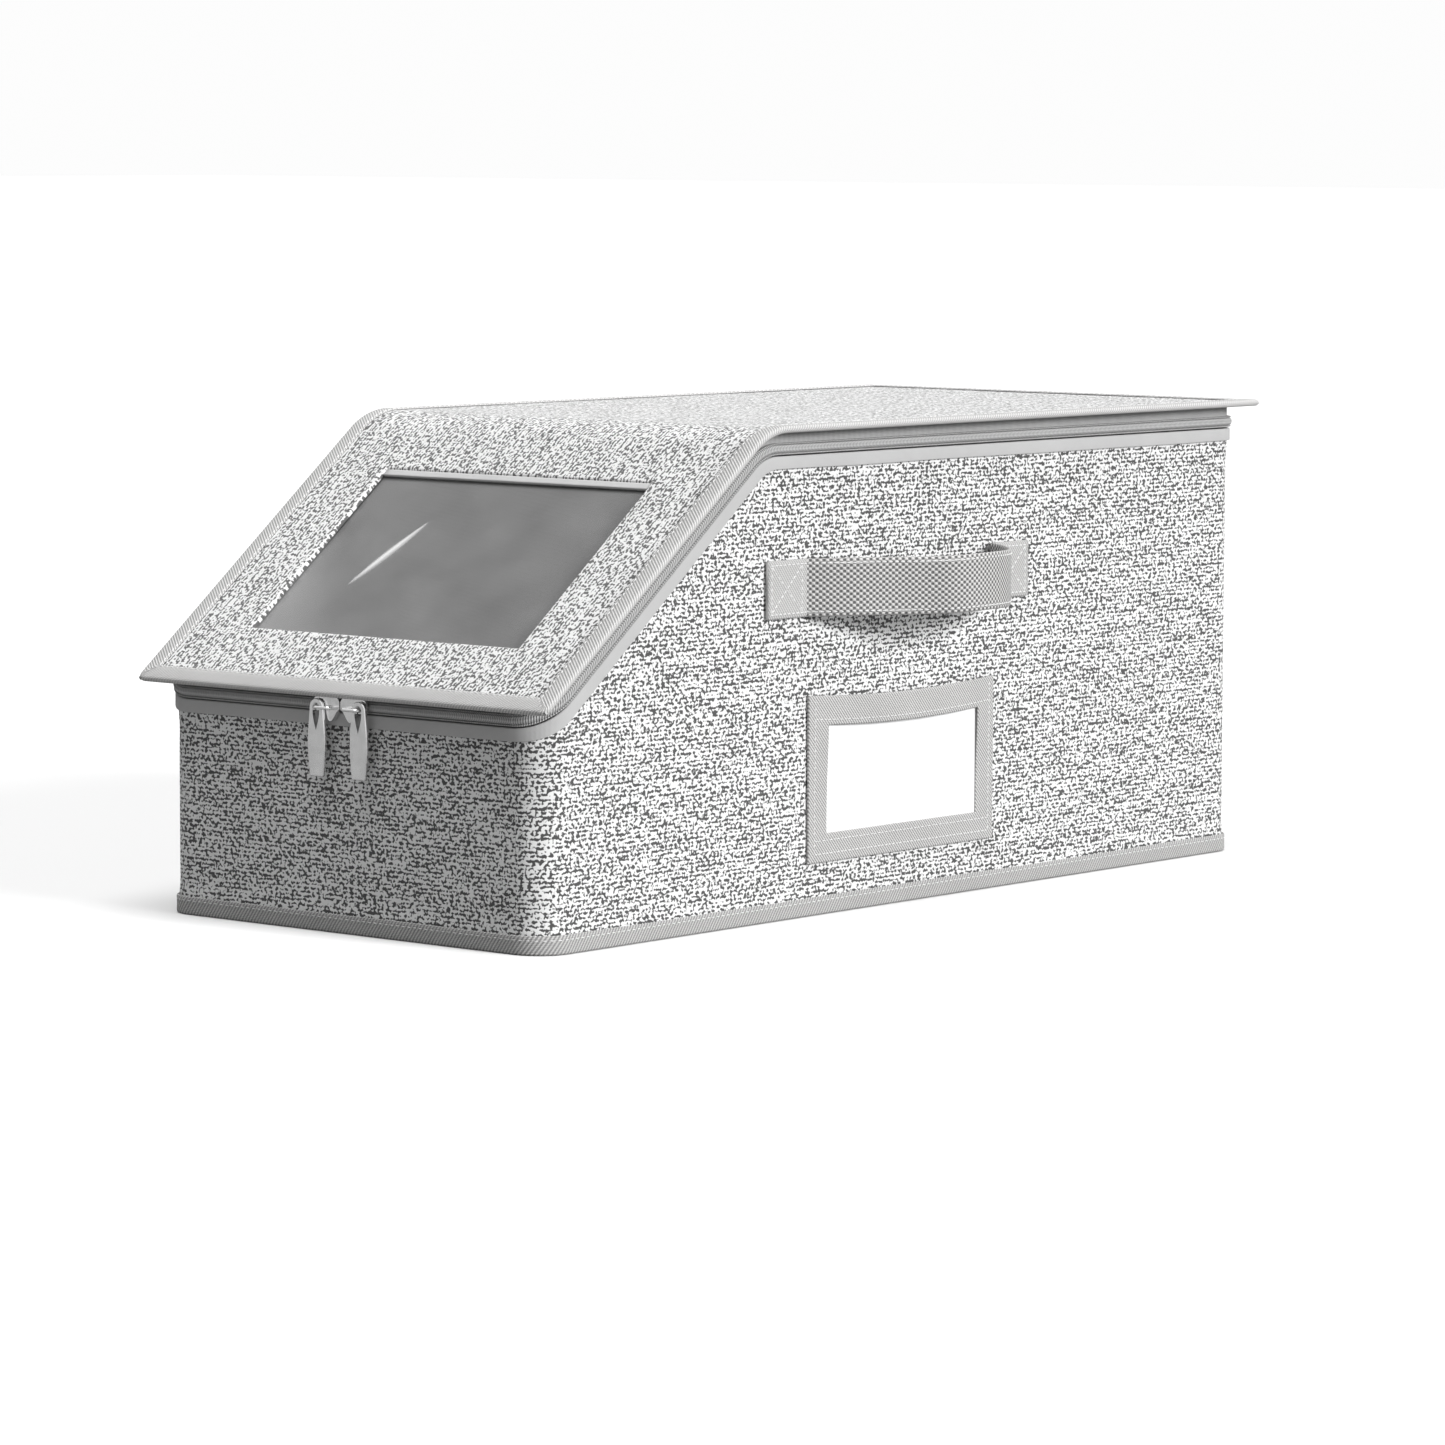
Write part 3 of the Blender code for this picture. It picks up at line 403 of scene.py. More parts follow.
# %% The wear group for plated metal
def plating_group():
    """A gloss that a fine and a coarse noise vary, and a tone that the coarse one varies."""
    inputs = [("Place", "Vector", None), ("Tone", "Color", grey(0.75)), ("Gloss", "Float", 0.2),
              ("Spread", "Float", 0.15)]
    outputs = [("Colour", "Color"), ("Height", "Float"), ("Roughness", "Float")]
    group, given, result = new_group("plating wear", inputs, outputs)
    place = given["Place"]
    broad = {"Vector": place, "Scale": 180.0, "Detail": 3.0}
    close = {"Vector": place, "Scale": 1500.0, "Detail": 2.0}
    coarse = add_node(group, "ShaderNodeTexNoise", broad).outputs[0]
    fine = add_node(group, "ShaderNodeTexNoise", close).outputs[0]
    shade = calc(group, "ADD", 0.9, calc(group, "MULTIPLY", coarse, 0.2))
    tone = add_node(group, "ShaderNodeVectorMath", {0: given["Tone"], 3: shade}, operation="SCALE").outputs[0]
    group.links.new(tone, result["Colour"])
    group.links.new(calc(group, "MULTIPLY", fine, 0.2), result["Height"])
    group.links.new(calc(group, "ADD", given["Gloss"], calc(group, "MULTIPLY", coarse, given["Spread"])),
                    result["Roughness"])
    return group


TWEED, RIBBED, PLATING = tweed_group(), ribbed_group(), plating_group()
print("node groups:", [group.name for group in bpy.data.node_groups])


# %% [markdown]
# ## From a recipe to a material
# A material places one group, fills its values and feeds the shader. Cloth takes its place
# from the UV map in metres, and hard or plain pieces take it from their own coordinates.

# %% Materials
def dress(name, group, values, depth, coordinates="cloth", metallic=0.0, sheen=0.0, turned=False):
    """A material: one group's colour, roughness and height feed the Principled shader.

    Where the cloth is cut with its yarns the other way, `turned` swaps along and across."""
    material = bpy.data.materials.new(name)
    material.use_nodes = True
    tree = material.node_tree
    shader = tree.nodes["Principled BSDF"]
    if coordinates == "cloth":
        place = add_node(tree, "ShaderNodeUVMap", uv_map="cloth").outputs[0]
    else:
        place = add_node(tree, "ShaderNodeTexCoord").outputs["Object"]
    if turned:
        parts = add_node(tree, "ShaderNodeSeparateXYZ", {0: place}).outputs
        place = add_node(tree, "ShaderNodeCombineXYZ", {0: parts[1], 1: parts[0], 2: 0.0}).outputs[0]
    recipe = add_node(tree, "ShaderNodeGroup", node_tree=group)
    tree.links.new(place, recipe.inputs[0])
    for label, value in values.items():
        recipe.inputs[label].default_value = value
    bump = add_node(tree, "ShaderNodeBump", {"Height": recipe.outputs["Height"], "Distance": depth * MM,
                                             "Strength": 1.0})
    tree.links.new(recipe.outputs["Colour"], shader.inputs["Base Color"])
    tree.links.new(recipe.outputs["Roughness"], shader.inputs["Roughness"])
    tree.links.new(bump.outputs[0], shader.inputs["Normal"])
    shader.inputs["Metallic"].default_value = metallic
    shader.inputs["Sheen Weight"].default_value = sheen
    shader.inputs["Specular IOR Level"].default_value = 0.5 if metallic else 0.15
    return material


tweed_wall = dress("tweed of the walls", TWEED, {"Pale": grey(0.84), "Dark": grey(0.08), "Float length": 2.0,
                                                 "Row pitch": 1.9, "Share": 0.47}, 0.2, sheen=0.15)
tweed_lid = dress("tweed of the lid", TWEED, {"Pale": grey(0.84), "Dark": grey(0.11), "Float length": 2.0,
                                              "Row pitch": 1.9, "Share": 0.45}, 0.2, sheen=0.25, turned=True)
lid_ribs = {"Ridge": grey(0.62, 0.01), "Groove": grey(0.38), "Pitch": 1.7, "Slant": 0.9, "Cross pitch": 0.8,
            "Fleck": 0.16}
binding_lid = dress("ribbed lid binding", RIBBED, lid_ribs, 0.25)
foot_ribs = {"Ridge": grey(0.55, 0.01), "Groove": grey(0.26), "Pitch": 1.9, "Slant": 0.7, "Cross pitch": 0.8,
             "Fleck": 0.2}
binding_foot = dress("ribbed foot binding", RIBBED, foot_ribs, 0.3)
band_cloth = dress("smooth band", RIBBED, {"Ridge": grey(0.56), "Groove": grey(0.48), "Pitch": 0.5,
                                           "Cross pitch": 0.5, "Cross depth": 1.0, "Fleck": 0.06}, 0.08)
zip_cloth = dress("zip tape", RIBBED, {"Ridge": grey(0.5), "Groove": grey(0.24), "Pitch": 0.9,
                                       "Cross pitch": 0.7, "Fleck": 0.1}, 0.2)
chain_cloth = dress("covered chain", RIBBED, {"Ridge": grey(0.6), "Groove": grey(0.24), "Pitch": 1.05,
                                              "Cross pitch": 1.8, "Cross depth": 0.4, "Fleck": 0.08}, 0.3)
strap_cloth = dress("strap webbing", RIBBED, {"Ridge": grey(0.62, 0.01), "Groove": grey(0.12), "Pitch": 3.2,
                                              "Cross pitch": 2.6, "Basket": 1.0, "Fleck": 0.1}, 0.3)
strap_end = dress("strap end twill", RIBBED, {"Ridge": grey(0.56, 0.01), "Groove": grey(0.34), "Pitch": 1.6,
                                              "Slant": 0.8, "Cross pitch": 0.9, "Fleck": 0.2}, 0.2)
label_twill = dress("label twill", RIBBED, {"Ridge": grey(0.62, 0.01), "Groove": grey(0.24), "Pitch": 1.7,
                                            "Slant": 0.9, "Cross pitch": 0.8, "Fleck": 0.2}, 0.2)
lining_cloth = dress("smooth lining", RIBBED, {"Ridge": grey(0.35), "Groove": grey(0.30), "Pitch": 0.6,
                                               "Cross pitch": 0.6, "Cross depth": 1.0, "Fleck": 0.06}, 0.08)
floor_cloth = dress("floor cloth", RIBBED, {"Ridge": grey(0.35), "Groove": grey(0.30), "Pitch": 0.6,
                                            "Cross pitch": 0.6, "Cross depth": 1.0, "Fleck": 0.06}, 0.08,
                    coordinates="object")
card_paper = dress("bare card", RIBBED, {"Ridge": grey(0.86), "Groove": grey(0.83), "Pitch": 0.4,
                                         "Cross pitch": 0.5, "Cross depth": 1.0, "Fleck": 0.05}, 0.01,
                   coordinates="object")
thread = dress("stitching thread", RIBBED, {"Ridge": grey(0.9), "Groove": grey(0.7), "Pitch": 0.35,
                                            "Slant": 0.5, "Fleck": 0.05}, 0.05)
nickel = dress("satin nickel", PLATING, {"Tone": grey(0.8), "Gloss": 0.14, "Spread": 0.14}, 0.02,
               coordinates="object", metallic=1.0)
print("materials:", len(bpy.data.materials))

# %% [markdown]
# ## The tweed walls
# The real walls are tweed over a lining, with a fold line in each long side so that the empty
# case packs flat. The wall is one ring: a tall outer face, its top edge and a plain
# inner face. Shallow waves and the fold line are pressed inwards only, so that the pocket and
# the handles on it keep their seat.

# %% Tweed walls
def wall_relief(level):
    """How far the wall's face lies inwards, in mm: waves, and the fold line on the long sides."""
    u = np.broadcast_to(ALONG[:-1, None], level.shape)
    waves = 0.28 * (1.0 + ripple(u, level * 1.4, 3, 120.0)) + 0.10 * (1.0 + ripple(u, level, 5, 34.0))
    on_side = (OUT_X[:, None] > 0.99) | (OUT_X[:, None] < -0.99)
    y = LOOP_Y[:, None] - 29.5 - 1.5 * np.sin(level / 45.0)
    reach = smooth_step((level - 18.0) / 12.0) * smooth_step((202.0 - level) / 8.0)
    crease = 1.5 * np.exp(-(y / 1.3) ** 2) - 0.2 * np.exp(-((np.abs(y) - 5.0) / 3.0) ** 2)
    return waves + np.where(on_side, crease, 0.0) * reach


wall_top = below_lid(BAND_SIDE + 1.2, BAND_FRONT + 1.2)
rise = np.linspace(0.0, 1.0, 64)
outer_level = FLOOR_LEVEL + (wall_top[:, None] - FLOOR_LEVEL) * rise[None, :]
hem = smooth_step((outer_level - FOOT_HEIGHT) / 6.0)
hem = hem * smooth_step((wall_top[:, None] - 7.0 - outer_level) / 8.0)
outer_out = -wall_relief(outer_level) * hem
inner_level = np.stack([wall_top, np.full_like(wall_top, FLOOR_LEVEL)], axis=1)
wall_level = np.concatenate([outer_level, inner_level], axis=1)
wall_out = np.concatenate([outer_out, np.full(inner_level.shape, -1.9)], axis=1)
wall_rise = np.concatenate([FLOOR_LEVEL + 195.0 * rise, [200.0, 400.0, 402.0]])
walls = ring_piece("tweed_walls", carry_round(wall_out, wall_level), ALONG, wall_rise, tweed_wall,
                   ["wall_shell"])
heights = np.zeros(len(walls.data.vertices) * 3)
walls.data.vertices.foreach_get("co", heights)
corners = np.zeros(len(walls.data.loops), dtype=np.int32)
walls.data.loops.foreach_get("vertex_index", corners)
lift = np.zeros(len(corners) * 2)
walls.data.uv_layers["cloth"].data.foreach_get("uv", lift)
lift[1::2] = heights[2::3][corners]
walls.data.uv_layers["cloth"].data.foreach_set("uv", lift)
print("wall relief reaches", round(float(-outer_out.min()), 2), "mm")

# %% [markdown]
# ## Linings
# Through the window the inside of the case shows: a smooth grey cloth on the walls and floor.
# It is a plain ring behind the tweed with soft waves, where it is only held at its edges.

# %% Lining
lining_in = np.linspace(0.0, 1.0, 24)
lining_level = FLOOR_LEVEL + (wall_top[:, None] - FLOOR_LEVEL) * lining_in[None, :]
sag = 0.5 * (1.0 + ripple(ALONG[:-1, None], lining_level, 11, 90.0)) * np.sin(math.pi * lining_in)[None, :]
lining_out = np.concatenate([np.full((len(ALONG) - 1, 24), -2.3), -2.9 - sag[:, ::-1]], axis=1)
lining_points = carry_round(lining_out, np.concatenate([lining_level, lining_level[:, ::-1]], axis=1))
lining_run = np.concatenate([200.0 * lining_in, 210.0 + 200.0 * lining_in, [411.0]])
ring_piece("lining", lining_points, ALONG, lining_run, lining_cloth, ["inner_lining"])


# %% [markdown]
# ## Bands, tapes and the covered chain
# Under the lid runs a smooth band that caps the walls, then the zip: a ribbed tape, the
# chain that a thin cloth covers, and a second tape up to the lid. Each is a closed section
# with round edges, carried round at its own distance below the lid.

# %% A strip with round edges
def strip_section(back, face, edge, count):
    """Out and share of height for a flat strip: a back face and a front with round ends."""
    turn = np.linspace(0.0, math.pi, count)
    front_share = 0.5 - 0.5 * np.cos(turn)
    round_off = np.clip(np.minimum(front_share, 1.0 - front_share) / edge, 0.0, 1.0)
    front_out = back + (face - back) * np.sqrt(1.0 - (1.0 - round_off) ** 2)
    return np.concatenate([front_out, [back]]), np.concatenate([front_share, [0.5]])


def strip_ring(name, back, face, low, high, edge, material, node_names, wave=0.0, seed=1, count=12):
    """A strip between two levels, its front waved a little along its length."""
    out, share = strip_section(back, face, edge, count)
    level = low[:, None] + (high - low)[:, None] * share[None, :]
    u = ALONG[:-1, None]
    push = wave * ripple(u, level, seed, 26.0) * (out > (back + face) / 2.0)[None, :]
    width = float(np.mean(high - low))
    across = np.concatenate([share * width, [2.0 * width]])
    return ring_piece(name, carry_round(out[None, :] + push, level), ALONG, across, material, node_names)


# %% Band over the walls' top edge
band_top = below_lid(BAND_SIDE, BAND_FRONT)
band_low = below_lid(BAND_SIDE + BAND_WIDTH, BAND_FRONT + BAND_WIDTH)
edge_wave = 0.25 * ripple(ALONG[:-1], ALONG[:-1] * 0.0, 21, 60.0)
turn = np.radians(np.linspace(0.0, 90.0, 5))
band_out = np.concatenate([[0.3, 0.6, 1.0, 1.4, 1.5, 1.5], 0.9 + 0.6 * np.cos(turn), [-3.1, -3.1, 0.3]])
band_down = np.concatenate([[6.0, 6.15, 6.15, 5.95, 5.6, 3.2], 0.6 - 0.6 * np.sin(turn), [0.0, 0.85, 0.85]])
band_share = np.clip(band_down / BAND_WIDTH, 0.0, 1.0)
band_level = band_top[:, None] + (band_low - band_top)[:, None] * band_share[None, :]
band_level = band_level + edge_wave[:, None] * (band_down > 5.0)[None, :]
band_puff = 0.12 * ripple(ALONG[:-1, None], band_level, 23, 22.0) * (band_out > 1.2)[None, :]
band_run = np.concatenate([[0.0], np.cumsum(np.hypot(np.diff(band_out), np.diff(band_down))), [30.0]])
ring_piece("smooth_band", carry_round(band_out[None, :] + band_puff, band_level), ALONG, band_run, band_cloth,
           ["wall_top_band"])

# %% Zip tapes and chain
half_chain = CHAIN_WIDTH / 2.0
tape_low = below_lid(BAND_SIDE - 0.3, BAND_FRONT - 0.3)
seam_low = below_lid(CHAIN_SIDE + half_chain + 0.15, CHAIN_FRONT + half_chain + 0.15)
seam_high = below_lid(CHAIN_SIDE + half_chain - 0.15, CHAIN_FRONT + half_chain - 0.15)
lid_front = (LID_EDGE + 0.3) / math.cos(SLOPE) + 0.8 * math.tan(SLOPE)
tape_high = below_lid(LID_EDGE + 0.3, lid_front)
strip_ring("lower_tape", -0.9, -0.1, tape_low, seam_low, 0.06, zip_cloth, ["zip_lower_tape"])
strip_ring("upper_tape", -0.9, -0.1, seam_high, tape_high, 0.06, zip_cloth, ["zip_upper_tape"], wave=0.05)

chain_low = below_lid(CHAIN_SIDE + CHAIN_WIDTH, CHAIN_FRONT + CHAIN_WIDTH)
chain_high = below_lid(CHAIN_SIDE, CHAIN_FRONT)
cord = np.radians(np.linspace(0.0, 180.0, 7))
cord_share = 0.075 - 0.075 * np.cos(cord)
middle_share = np.linspace(0.17, 0.83, 13)
middle_out = 1.3 + 1.15 * np.sin(math.pi * (middle_share - 0.17) / 0.66) ** 0.6
chain_share = np.concatenate([cord_share, middle_share, 1.0 - cord_share[::-1], [0.5]])
chain_out = np.concatenate([0.2 + 1.9 * np.sin(cord), middle_out, 0.2 + 1.9 * np.sin(cord), [0.2]])
chain_level = chain_low[:, None] + (chain_high - chain_low)[:, None] * chain_share[None, :]
chain_run = np.concatenate([chain_share * CHAIN_WIDTH, [12.0]])
ring_piece("covered_chain", carry_round(chain_out[None, :], chain_level), ALONG, chain_run, chain_cloth,
           ["zip_chain"])

# %% [markdown]
# ## The binding of the foot
# A ribbed tape folds round the lower edge: up the wall and under the floor. Its section is an
# L with round edges, and its upper edge wanders a little, as a sewn tape does.

# %% Foot binding
foot_wave = 0.45 * ripple(ALONG[:-1], ALONG[:-1] * 0.0, 31, 140.0)
foot_out = np.array([-10.0, -10.0, 0.3, 0.3, 0.5, 0.8, 1.15, 1.3, 1.3, 1.3, 1.3, 1.2, 0.9])
foot_level = np.array([0.0, 0.7, 0.7, 8.0, 8.2, 8.25, 8.05, 7.6, 6.0, 3.5, 0.9, 0.3, 0.0])
foot_levels = foot_level[None, :] + foot_wave[:, None] * (foot_level > 7.0)[None, :]
foot_face = ((foot_out > 1.2) & (foot_level > 2.0))[None, :]
foot_push = 0.1 * ripple(ALONG[:-1, None], foot_levels, 33, 18.0) * foot_face
foot_run = np.concatenate([[0.0], np.cumsum(np.hypot(np.diff(foot_out), np.diff(foot_level))), [40.0]])
ring_piece("foot_binding", carry_round(foot_out[None, :] + foot_push, foot_levels), ALONG, foot_run,
           binding_foot, ["bottom_binding"])

# %% [markdown]
# ## The lid
# The lid is one stiff sheet under tweed. Laid flat it is a rectangle with a window cut in it,
# so it is made as a flat grid and folded by the function above. At the window the cloth turns
# down over the edge of the board, which a quarter circle of depth gives.


# %% Tweed lid
def lid_place(across, run, depth):
    """A point of the lid from its flat pattern."""
    y, z = fold(run, depth)
    return np.stack([across, y, z], axis=-1)


def window_distance(across, run):
    """How far a point of the pattern lies outside the window's rectangle."""
    middle = (WINDOW_LOW + WINDOW_HIGH) / 2.0
    tall = (WINDOW_HIGH - WINDOW_LOW) / 2.0
    dx = np.abs(across) - WINDOW_HALF
    dy = np.abs(run - middle) - tall
    return np.maximum(dx, dy)


def lid_top(across, run):
    """Depth of the tweed's face: soft waves, and a round turn down at the window's edge."""
    waves = 0.14 * ripple(across, run, 41, 110.0)
    away = np.clip(window_distance(across, run) / 1.4, 0.0, 1.0)
    turned = 1.2 * (1.0 - np.sqrt(1.0 - (1.0 - away) ** 2))
    return 0.72 + waves * smooth_step(window_distance(across, run) / 20.0) + turned


def stops(*knots):
    """A sorted list of grid lines: pairs of (from, to, step) joined without repeats."""
    parts = [np.linspace(a, b, max(2, round((b - a) / step) + 1)) for a, b, step in knots]
    return np.unique(np.round(np.concatenate(parts), 4))


edge_x = HALF_LID - 0.8
lines_x = stops((-edge_x, -WINDOW_HALF - 1.4, 4.0), (-WINDOW_HALF - 1.4, -WINDOW_HALF, 0.35),
                (-WINDOW_HALF, WINDOW_HALF, 4.0), (WINDOW_HALF, WINDOW_HALF + 1.4, 0.35),
                (WINDOW_HALF + 1.4, edge_x, 4.0))
lines_s = stops((0.8, WINDOW_LOW - 1.4, 4.0), (WINDOW_LOW - 1.4, WINDOW_LOW, 0.35),
                (WINDOW_LOW, WINDOW_HIGH, 4.0), (WINDOW_HIGH, WINDOW_HIGH + 1.4, 0.35),
                (WINDOW_HIGH + 1.4, SLOPE_RUN + BEND_RUN, 1.5), (SLOPE_RUN + BEND_RUN, LID_RUN - 0.8, 4.0))
mid_x, mid_s = (lines_x[1:] + lines_x[:-1]) / 2.0, (lines_s[1:] + lines_s[:-1]) / 2.0
open_cells = (np.abs(mid_x)[:, None] < WINDOW_HALF) & ((mid_s > WINDOW_LOW) & (mid_s < WINDOW_HIGH))[None, :]
slab_piece("tweed_lid", lid_place, lines_x, lines_s, ~open_cells, lid_top, lambda u, v: 2.3 + 0.0 * u,
           tweed_lid, ["lid_panel"])

# %% [markdown]
# ## The binding round the lid
# A ribbed tape wraps the lid's edge, over, round and under. It is carried round the lid's flat
# outline as a section of inset and depth, and then folded with the lid.


# %% Lid binding
LID_X, LID_S, LID_TURN, LID_ALONG = round_stations(HALF_LID, LID_RUN / 2.0, LID_RUN / 2.0, 4.0, 2.5, 6)


def lid_inset(inset):
    """The outline moved inwards square to its sides, so that the corners stay sharp inside."""
    x = np.clip(LID_X - np.cos(LID_TURN) * inset, -(HALF_LID - inset), HALF_LID - inset)
    s = np.clip(LID_S - np.sin(LID_TURN) * inset, inset, LID_RUN - inset)
    return x, s


turn = np.radians(np.linspace(90.0, 270.0, 9))
tape_inset = np.concatenate([[9.5, 9.2, 6.0, 3.0], 1.5 + 1.5 * np.cos(turn),
                             [3.0, 6.0, 9.5, 9.5, 3.0, 0.55, 0.55, 3.0, 9.5]])
tape_depth = np.concatenate([[0.35, 0.05, -0.05, -0.05], 1.55 - 1.55 * np.sin(turn),
                             [3.1, 3.1, 3.1, 2.65, 2.65, 2.5, 0.6, 0.5, 0.5]])
columns = []
for inset, depth in zip(tape_inset, tape_depth):
    x, s = lid_inset(inset)
    columns.append(lid_place(x, s, depth + 0.08 * ripple(x, s, 51, 16.0) * (depth < 0.4)))
tape_points = np.stack(columns, axis=1)
tape_run = np.concatenate([[0.0], np.cumsum(np.hypot(np.diff(tape_inset), np.diff(tape_depth))), [50.0]])
ring_piece("lid_tape", tape_points, LID_ALONG, tape_run, binding_lid, ["lid_binding"])

# %% [markdown]
# ## The window
# A clear film is sewn behind the opening, and along the upper edge the raw border of the
# board's cloth shows as a pale strip. Film is never quite flat, so it has long low waves and
# one crease, and they break up its gloss. Along the crease the film is also made nearly
# opaque and pale grey: a painted highlight on top of the crease's real ridge.


# %% Film and pale strip
CREASE_FROM, CREASE_TO = np.array([-49.0, 74.0]), np.array([-32.0, 119.0])


# The same bell gives the crease's ridge in the film's depth and the mask of its painted highlight.
def crease_share(across, run):
    """How near a point lies to the crease, from 0 to 1: a bell across it whose width swells
    and dies out towards both ends, as a pinch in plastic film does."""
    way = CREASE_TO - CREASE_FROM
    length = np.hypot(way[0], way[1])
    ahead = ((across - CREASE_FROM[0]) * way[0] + (run - CREASE_FROM[1]) * way[1]) / length ** 2
    beside = ((across - CREASE_FROM[0]) * way[1] - (run - CREASE_FROM[1]) * way[0]) / length
    swell = np.sin(math.pi * np.clip(ahead, 0.0, 1.0))
    return swell ** 0.5 * np.exp(-(beside / (0.4 + 1.3 * swell)) ** 2)


def film_depth(across, run):
    """Depth of the film: long low waves that fade at its sewn border, and the crease's ridge."""
    inside = smooth_step(-window_distance(across, run) / 25.0)
    return (3.0 + inside * (0.55 * ripple(across, run, 61, 150.0) + 0.2 * ripple(across, run, 63, 60.0))
            - 0.5 * crease_share(across, run))


film = bpy.data.materials.new("clear film")
film.use_nodes = True
film_shader = film.node_tree.nodes["Principled BSDF"]
film_place = add_node(film.node_tree, "ShaderNodeUVMap", uv_map="cloth").outputs[0]
cloudy = {"Vector": film_place, "Scale": 25.0, "Detail": 3.0}
smear = add_node(film.node_tree, "ShaderNodeTexNoise", cloudy).outputs[0]
# The crease attribute raises the alpha along the crease, so the film shows pale grey there: a painted
# highlight over the crease's shallow ridge.
crease_painted_highlight = add_node(film.node_tree, "ShaderNodeAttribute", attribute_name="crease").outputs["Fac"]
clear = calc(film.node_tree, "ADD", 0.08, calc(film.node_tree, "MULTIPLY", smear, 0.12))
clear = calc(film.node_tree, "ADD", clear, calc(film.node_tree, "MULTIPLY", crease_painted_highlight, 0.75))
film.node_tree.links.new(clear, film_shader.inputs["Alpha"])
film.node_tree.links.new(calc(film.node_tree, "ADD", 0.03, calc(film.node_tree, "MULTIPLY", smear, 0.06)),
                         film_shader.inputs["Roughness"])
film_shader.inputs["Base Color"].default_value = grey(0.78)
film_shader.inputs["Coat Weight"].default_value = 1.0
film_lines_x = stops((-WINDOW_HALF - 6.0, -56.0, 3.0), (-56.0, -25.0, 0.6), (-25.0, WINDOW_HALF + 6.0, 3.0))
film_lines_s = stops((WINDOW_LOW - 6.0, 68.0, 3.0), (68.0, 125.0, 0.9), (125.0, WINDOW_HIGH + 6.0, 3.0))
film_cells = np.ones((len(film_lines_x) - 1, len(film_lines_s) - 1), dtype=bool)
sheet = slab_piece("window_sheet", lid_place, film_lines_x, film_lines_s, film_cells, film_depth,
                   lambda u, v: film_depth(u, v) + 0.3, film, ["window_film"])
flat_u, flat_v = np.meshgrid(film_lines_x, film_lines_s, indexing="ij")
# The crease share is stored on the points as the mask of the painted highlight along the crease.
crease_highlight_mask = np.tile(crease_share(flat_u, flat_v).ravel(), 2)
layer = sheet.data.attributes.new("crease", "FLOAT", "POINT")
layer.data.foreach_set("value", crease_highlight_mask)
pale_cloth = dress("pale cut edge", RIBBED, {"Ridge": grey(0.62), "Groove": grey(0.5), "Pitch": 0.7,
                                             "Cross pitch": 0.7, "Cross depth": 1.0, "Fleck": 0.1}, 0.08)
strip_x = np.linspace(-WINDOW_HALF + 0.1, WINDOW_HALF - 0.1, 60)
strip_s = np.linspace(WINDOW_HIGH - 3.9, WINDOW_HIGH - 0.1, 6)
edge_strip = slab_piece("window_edge_strip", lid_place, strip_x, strip_s, np.ones((59, 5), dtype=bool),
                        lambda u, v: 1.3 + 0.12 * ripple(u, v, 71, 30.0), lambda u, v: 2.5 + 0.0 * u,
                        pale_cloth, None)

# %% [markdown]
# ## Strap handles
# A handle is one length of webbing whose two ends lie on the wall under a sewn box, while the
# middle stands off in an arch for the fingers. The webbing is a flat section with rounded
# edges, carried along the arch's curve. The ends carry a finer twill patch.

# %% The arch
HANDLE_MIDDLE, HANDLE_SPAN, HANDLE_END, HANDLE_RISE = MIDDLE_Y - 13.0, 194.0, 28.0, 40.0
HANDLE_LEVEL, STRAP_HALF, STRAP_THICK, WALL_SEAT = 150.0, 13.25, 1.6, HALF_WIDTH + 0.3
ARCH_ALONG = np.array([0.0, 0.07, 0.16, 0.26, 0.35, 0.44, 0.53, 0.64, 0.74, 0.83, 0.91, 0.96, 1.0])
ARCH_RISE = np.array([0.0, 0.19, 0.38, 0.56, 0.75, 0.94, 1.0, 0.97, 0.87, 0.71, 0.46, 0.23, 0.0])


def through(knots_x, knots_y, count):
    """A Catmull-Rom curve through knots: each span is a cubic that leaves with the slope of
    the neighbours' chord."""
    px = np.concatenate([[2 * knots_x[0] - knots_x[1]], knots_x, [2 * knots_x[-1] - knots_x[-2]]])
    py = np.concatenate([[2 * knots_y[0] - knots_y[1]], knots_y, [2 * knots_y[-1] - knots_y[-2]]])
    t = np.linspace(0.0, len(knots_x) - 1.0001, count)
    i = t.astype(int)
    f = t - i

    def cubic(p):
        a, b, c, d = p[i], p[i + 1], p[i + 2], p[i + 3]
        return 0.5 * (2 * b + (c - a) * f + (2 * a - 5 * b + 4 * c - d) * f ** 2
                      + (3 * b - a - 3 * c + d) * f ** 3)
    return cubic(px), cubic(py)


def strap_path():
    """The strap's middle line: y along the wall and height off it, end to end."""
    free = HANDLE_SPAN - 2.0 * HANDLE_END
    share, lift_share = through(ARCH_ALONG, ARCH_RISE, 90)
    start = HANDLE_MIDDLE - HANDLE_SPAN / 2.0
    flat = np.linspace(0.0, HANDLE_END, 12)[:-1]
    y = np.concatenate([start + flat, start + HANDLE_END + free * share,
                        start + HANDLE_SPAN - flat[::-1]])
    rise_ = np.concatenate([0.0 * flat, HANDLE_RISE * lift_share, 0.0 * flat])
    return y, rise_


def strap_frame(y, height):
    """Direction along the strap and square to it, from differences of neighbours."""
    dy, dh = np.gradient(y), np.gradient(height)
    size = np.hypot(dy, dh)
    return dy / size, dh / size


